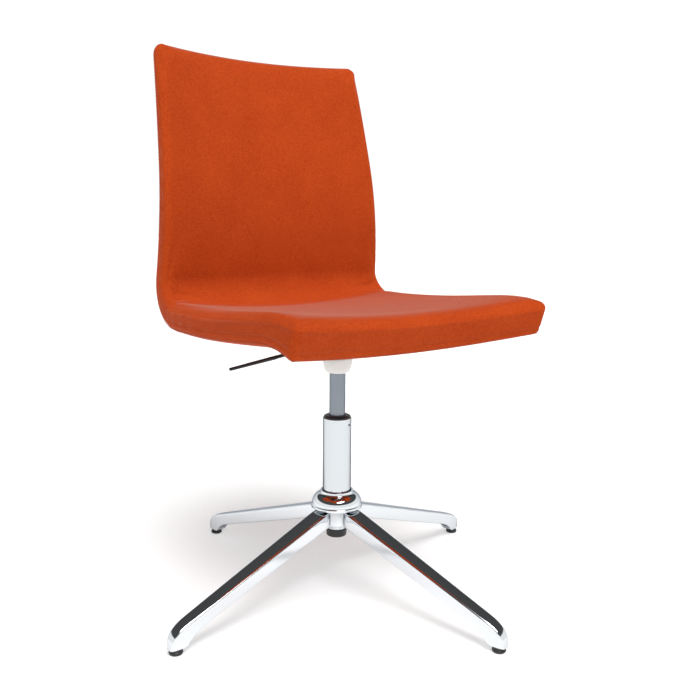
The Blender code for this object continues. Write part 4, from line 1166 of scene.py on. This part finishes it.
@dataclass
class GasColumn:
    """Chromed tube with its guide bush and end cap, and the cylinder that slides in it."""

    tube_radius: float = 0.0250
    tube_wall: float = 0.0016
    tube_seat: float = 0.0077       # tube's shoulder below the hub's top
    tube_mouth_round: float = 0.0003
    neck_radius: float = 0.0210
    neck_end: float = 0.0182
    neck_wall: float = 0.0018
    neck_floor: float = 0.0040
    rod_bore: float = 0.0044
    bush_radius: float = 0.0238
    bush_chamfer: float = 0.0026
    bush_edge: float = 0.6          # share of the flange's height below its chamfer
    bush_round: float = 0.0016
    bush_seat_round: float = 0.0005
    cylinder_radius: float = 0.0140
    cylinder_run: float = 0.0004    # between the cylinder and the bush
    cylinder_wall: float = 0.0014
    cylinder_lip: float = 0.0015
    taper: float = 0.0300
    taper_end: float = 0.0132
    taper_bore: float = 0.0118
    taper_floor: float = 0.0030
    button_bore: float = 0.0044
    cap_radius: float = 0.0188
    cap_wall: float = 0.0060
    cap_floor: float = 0.0030
    cap_draft: float = 0.0010
    cap_rim: float = 0.0034         # height of the cap's raised rim
    cap_step: float = 0.0004
    cap_slope: float = 0.0008
    clearance: float = 0.0003
    dot_radius: float = 0.0021      # small black dot, proud of the tube
    dot_proud: float = 0.0005
    dot_drop: float = 0.0110        # below the tube's end
    dot_heading: float = math.radians(-69.0)
    dot_crown: float = 0.7          # share of the radius at the dot's flat end
    dot_sides: int = 24

    def build_tube(self) -> None:
        """Build the outer tube, rolled in at its upper edge."""
        low, high = (corner.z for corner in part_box("column_tube"))
        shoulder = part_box("hub")[1].z - self.tube_seat
        bore = self.tube_radius - self.tube_wall
        floor = low + self.neck_floor
        tube = turned("column_outer_tube", (
            (self.rod_bore, low, 0.0),
            (self.neck_end, low, PLAIN),
            (self.neck_radius, shoulder, 0.0),
            (self.tube_radius, shoulder, FINE),
            (self.tube_radius, high, ROUND),
            (bore, high, self.tube_mouth_round),
            (bore, shoulder + self.tube_wall, 0.0),
            (self.neck_radius - self.neck_wall, shoulder + self.tube_wall, 0.0),
            (self.neck_end - self.neck_wall, floor, 0.0),
            (self.rod_bore, floor, 0.0),
        ), FINE_SIDES)
        dress(tube, CHROME, Body.BASE, "column_tube")

    def build_bush(self) -> None:
        """Build the guide bush with its flange on the tube's end."""
        low, high = (corner.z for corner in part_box("guide_bush"))
        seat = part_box("column_tube")[1].z + self.clearance
        bore = self.cylinder_radius + self.cylinder_run
        sleeve = self.tube_radius - self.tube_wall - self.clearance
        bush = turned("column_guide_bush", (
            (bore, low, 0.0),
            (sleeve, low, SMALL),
            (sleeve, seat, 0.0),
            (self.bush_radius, seat, self.bush_seat_round),
            (self.bush_radius, seat + (high - seat) * self.bush_edge, self.bush_round),
            (self.bush_radius - self.bush_chamfer, high, ROUND),
            (bore, high, FINE),
        ))
        dress(bush, NYLON, Body.BASE, "guide_bush")

    def build_dark_dot(self) -> None:
        """Build a small black rounded dot, proud of the tube a little below its upper end."""
        outward = Vector((math.cos(self.dot_heading), math.sin(self.dot_heading), 0.0))
        aside = Vector((-outward.y, outward.x, 0.0))
        upward = Vector((0.0, 0.0, 1.0))
        centre = upward * (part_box("column_tube")[1].z - self.dot_drop)
        inner = self.tube_radius - self.tube_wall / 2
        outer = self.tube_radius + self.dot_proud
        stations = (
            (inner, self.dot_radius),
            (outer - self.dot_proud / 2, self.dot_radius),
            (outer, self.dot_radius * self.dot_crown),
        )
        angles = [2 * math.pi * side / self.dot_sides for side in range(self.dot_sides)]
        circle = [aside * math.cos(angle) + upward * math.sin(angle) for angle in angles]
        bm = bmesh.new()
        skin(bm, [
            [centre + outward * place + spoke * radius for spoke in circle]
            for place, radius in stations
        ])
        dress(add_object("tube_dark_dot", bm), NYLON, Body.BASE)

    def build_cap(self) -> None:
        """Build the end cap under the hub."""
        low, high = (corner.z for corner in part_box("end_cap"))
        rim = high - self.cap_rim
        bore = self.cap_radius - self.cap_wall
        floor = low + self.cap_floor
        cap = turned("column_end_cap", (
            (0.0, low, 0.0),
            (self.cap_radius - self.cap_draft, low, SOFT),
            (self.cap_radius - self.cap_step, rim - self.cap_slope, BROKEN),
            (self.cap_radius, rim, BROKEN),
            (self.cap_radius, high, SMALL),
            (bore, high, BROKEN),
            (bore, floor, 0.0),
            (0.0, floor, 0.0),
        ))
        dress(cap, NYLON, Body.BASE, "end_cap")

    def build_cylinder(self) -> None:
        """Build the gas spring's cylinder, tapered where the socket grips it."""
        low, high = (corner.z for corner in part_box("gas_cylinder"))
        bore = self.cylinder_radius - self.cylinder_wall
        mouth = bore - self.cylinder_lip
        lip = low + self.cylinder_lip
        taper = high - self.taper
        floor = high - self.taper_floor
        cylinder = turned("gas_spring_cylinder", (
            (mouth, low, 0.0),
            (self.cylinder_radius, low, PLAIN),
            (self.cylinder_radius, taper, 0.0),
            (self.taper_end, high, FINE),
            (self.button_bore, high, 0.0),
            (self.button_bore, floor, 0.0),
            (self.taper_bore, floor, 0.0),
            (bore, taper, 0.0),
            (bore, lip, 0.0),
            (mouth, lip, 0.0),
        ))
        dress(cylinder, CYLINDER_GREY, Body.SEAT, "gas_cylinder")

    def build(self) -> None:
        """Build the column's visible pieces."""
        self.build_tube()
        self.build_bush()
        self.build_dark_dot()
        self.build_cap()
        self.build_cylinder()


# Seat mechanism and height lever


@dataclass
class SeatMechanism:
    """Bell-shaped cover under the seat and the lever that opens the gas spring's valve."""

    bell_end: float = 0.0178
    bell_top: float = 0.0262
    bell_wall: float = 0.0018
    bell_bore: float = 0.0144       # least inner radius, clear of the cylinder
    bell_steps: int = 10
    grip_root: float = 0.0034
    grip_tip: float = 0.0026
    grip_slope: float = math.radians(7.5)
    grip_sides: int = 32
    grip_lip: float = 0.0008        # rounding of the root
    grip_steps: int = 10
    round_steps: int = 8

    def build_bell(self) -> None:
        """Build the bell-shaped cover round the socket."""
        low, high = (corner.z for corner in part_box("socket_cover"))
        outside: list[Point] = []
        inside: list[Point] = []
        for step in range(self.bell_steps + 1):
            angle = step / self.bell_steps * math.pi / 2
            radius = self.bell_end + (self.bell_top - self.bell_end) * math.sin(angle)
            height = low + (high - low) * (1 - math.cos(angle))
            outside.append((radius, height, SMALL if step == 0 else 0.0))
            inside.append((max(radius - self.bell_wall, self.bell_bore), height, 0.0))
        bell = turned("socket_bell", outside + inside[::-1])
        dress(bell, POLYPROPYLENE, Body.SEAT, "socket_cover")

    def build_grip(self) -> None:
        """Build the lever's moulded grip: tapered, with a rounded root and end."""
        low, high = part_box("lever_grip")
        along = Vector((-math.cos(self.grip_slope), 0.0, -math.sin(self.grip_slope)))
        across = Vector((0.0, 1.0, 0.0))
        upward = Vector((-math.sin(self.grip_slope), 0.0, math.cos(self.grip_slope)))
        root = Vector((
            high.x - self.grip_root * math.sin(self.grip_slope),
            0.0,
            high.z - self.grip_root * math.cos(self.grip_slope),
        ))
        length = (root.x - low.x) / math.cos(self.grip_slope)
        turns = [math.pi / 2 * step / self.round_steps for step in range(self.round_steps)]
        lip = self.grip_lip
        stations = [
            (lip * (1 - math.sin(turn)), self.grip_root - lip * (1 - math.cos(turn)))
            for turn in reversed(turns)
        ]
        straight = length - self.grip_tip
        for step in range(1, self.grip_steps + 1):
            share = step / self.grip_steps
            stations.append((
                lip + share * (straight - lip),
                self.grip_root + share * (self.grip_tip - self.grip_root),
            ))
        stations += [
            (straight + self.grip_tip * math.sin(turn), self.grip_tip * math.cos(turn))
            for turn in turns[1:]
        ]
        angles = [2 * math.pi * side / self.grip_sides for side in range(self.grip_sides)]
        circle = [across * math.cos(angle) + upward * math.sin(angle) for angle in angles]
        bm = bmesh.new()
        skin(bm, [
            [root + along * place + spoke * radius for spoke in circle]
            for place, radius in stations
        ])
        dress(add_object("lever_handgrip", bm), NYLON, Body.LEVER, "lever_grip")

    def build(self) -> None:
        """Build the mechanism's visible pieces."""
        self.build_bell()
        self.build_grip()


# Carried-over solids


def dress_frame() -> None:
    """Finish every solid of the frame by the slot that the record gives it."""
    finishes = {finish.slot: finish for finish in FINISHES}
    slots = {part["node"]: part["material_slot"] for part in frame["record"]["subparts"]}
    for name, solid in frame["nodes"].items():
        finishes[slots[name]].wear(solid)


# Studio


@dataclass
class Studio:
    """Camera, floor and soft light."""

    focal_px: float = 843.3         # focal length in pixels of a 700-pixel frame
    frame_px: float = 700.0
    sensor_mm: float = 36.0
    distance: float = 1.4431        # camera from the column, level
    height: float = 0.6617
    turn: float = math.radians(36.1)
    pitch: float = 0.1609
    yaw: float = math.radians(0.849)
    roll: float = math.radians(0.531)
    near_clip: float = 0.01
    far_clip: float = 100.0
    floor_colour: str = "#CFCFCF"
    floor_roughness: float = 0.7
    floor_size: float = 20.0        # half of its side
    floor_drop: float = 0.0003      # below the glides, so that the faces don't flicker
    floor_glow: float = 0.46        # the floor is lit from below too, so that shadows stay faint
    wall_light: float = 1.05        # radiance, where 1 shows as white
    wall_top: float = math.radians(22.0)
    ceiling_start: float = math.radians(27.0)
    ceiling_light: float = 0.075
    softbox_place: Point = (0.18, -0.45, 1.20)      # direction, as seen from the camera
    softbox_core: float = math.radians(13.0)
    softbox_reach: float = math.radians(22.0)
    softbox_light: float = 12.5

    def to_chair(self, x: float, y: float, z: float) -> Vector:
        """Turn a place seen from the camera (right, away, up) into the chair's frame."""
        return Matrix.Rotation(-self.turn, 3, "Z") @ Vector((x, y, z))

    def build_camera(self) -> None:
        """Add the camera at the photograph's viewing angle."""
        data = bpy.data.cameras.new("camera")
        data.sensor_width = self.sensor_mm
        data.lens = self.focal_px * self.sensor_mm / self.frame_px
        data.clip_start = self.near_clip
        data.clip_end = self.far_clip
        right = Vector((math.cos(self.yaw), -math.sin(self.yaw), 0.0))
        level = Vector((math.sin(self.yaw), math.cos(self.yaw), 0.0))
        ahead = level * math.cos(self.pitch) - Vector((0, 0, 1)) * math.sin(self.pitch)
        up = right.cross(ahead)
        rolled_right = right * math.cos(self.roll) + up * math.sin(self.roll)
        rolled_up = up * math.cos(self.roll) - right * math.sin(self.roll)
        axes = [self.to_chair(*axis) for axis in (rolled_right, rolled_up, -ahead)]
        camera = bpy.data.objects.new("camera", data)
        place = self.to_chair(0.0, -self.distance, self.height)
        camera.matrix_world = Matrix.Translation(place) @ Matrix(axes).transposed().to_4x4()
        bpy.context.scene.collection.objects.link(camera)
        bpy.context.scene.camera = camera

    def build_floor(self) -> None:
        """Add the pale floor."""
        bm = bmesh.new()
        bmesh.ops.create_grid(bm, x_segments=1, y_segments=1, size=self.floor_size)
        floor = add_object("floor", bm)
        floor.location.z = -self.floor_drop
        paper = bpy.data.materials.new("pale_floor_paper")
        paper.use_nodes = True
        shader = paper.node_tree.nodes["Principled BSDF"]
        shader.inputs["Base Color"].default_value = linear(self.floor_colour)
        shader.inputs["Roughness"].default_value = self.floor_roughness
        shader.inputs["Emission Color"].default_value = WHITE
        shader.inputs["Emission Strength"].default_value = self.floor_glow
        floor.data.materials.append(paper)

    def build_surround(self) -> None:
        """Light the scene from pale walls under a dark ceiling with one large softbox."""
        world = bpy.data.worlds.new("studio_surround")
        world.use_nodes = True
        tree = world.node_tree
        tree.nodes.clear()
        coords = add_node(tree, "ShaderNodeTexCoord")
        split = add_node(tree, "ShaderNodeSeparateXYZ", inputs={0: coords.outputs["Generated"]})
        rise = add_node(tree, "ShaderNodeMapRange", {"interpolation_type": "SMOOTHSTEP"}, {
            "Value": split.outputs["Z"],
            "From Min": math.sin(self.wall_top),
            "From Max": math.sin(self.ceiling_start),
            "To Min": self.wall_light,
            "To Max": self.ceiling_light,
        })
        aim = self.to_chair(*self.softbox_place).normalized()
        towards = add_node(tree, "ShaderNodeVectorMath", {"operation": "DOT_PRODUCT"}, {
            0: coords.outputs["Generated"], 1: tuple(aim),
        })
        patch = add_node(tree, "ShaderNodeMapRange", {"interpolation_type": "SMOOTHSTEP"}, {
            "Value": towards.outputs["Value"],
            "From Min": math.cos(self.softbox_reach),
            "From Max": math.cos(self.softbox_core),
            "To Max": self.softbox_light,
        })
        total = add_node(tree, "ShaderNodeMath", {"operation": "ADD"}, {
            0: rise.outputs[0], 1: patch.outputs[0],
        })
        glow = add_node(tree, "ShaderNodeBackground", inputs={"Strength": total.outputs[0]})
        glow.inputs["Color"].default_value = WHITE
        add_node(tree, "ShaderNodeOutputWorld", inputs={"Surface": glow.outputs[0]})
        bpy.context.scene.world = world

    def build(self) -> None:
        """Build the camera, the floor and the light."""
        self.build_camera()
        self.build_floor()
        self.build_surround()
        bpy.context.scene.view_settings.view_transform = "Standard"


def main() -> None:
    """Build the chair's looks in order."""
    logging.basicConfig(level=logging.INFO, format="%(message)s")
    dress_frame()
    Studio().build()
    StarBase().build()
    GasColumn().build()
    SeatMechanism().build()
    Upholstery(ShellForm()).build()


if __name__ == "__main__":
    main()
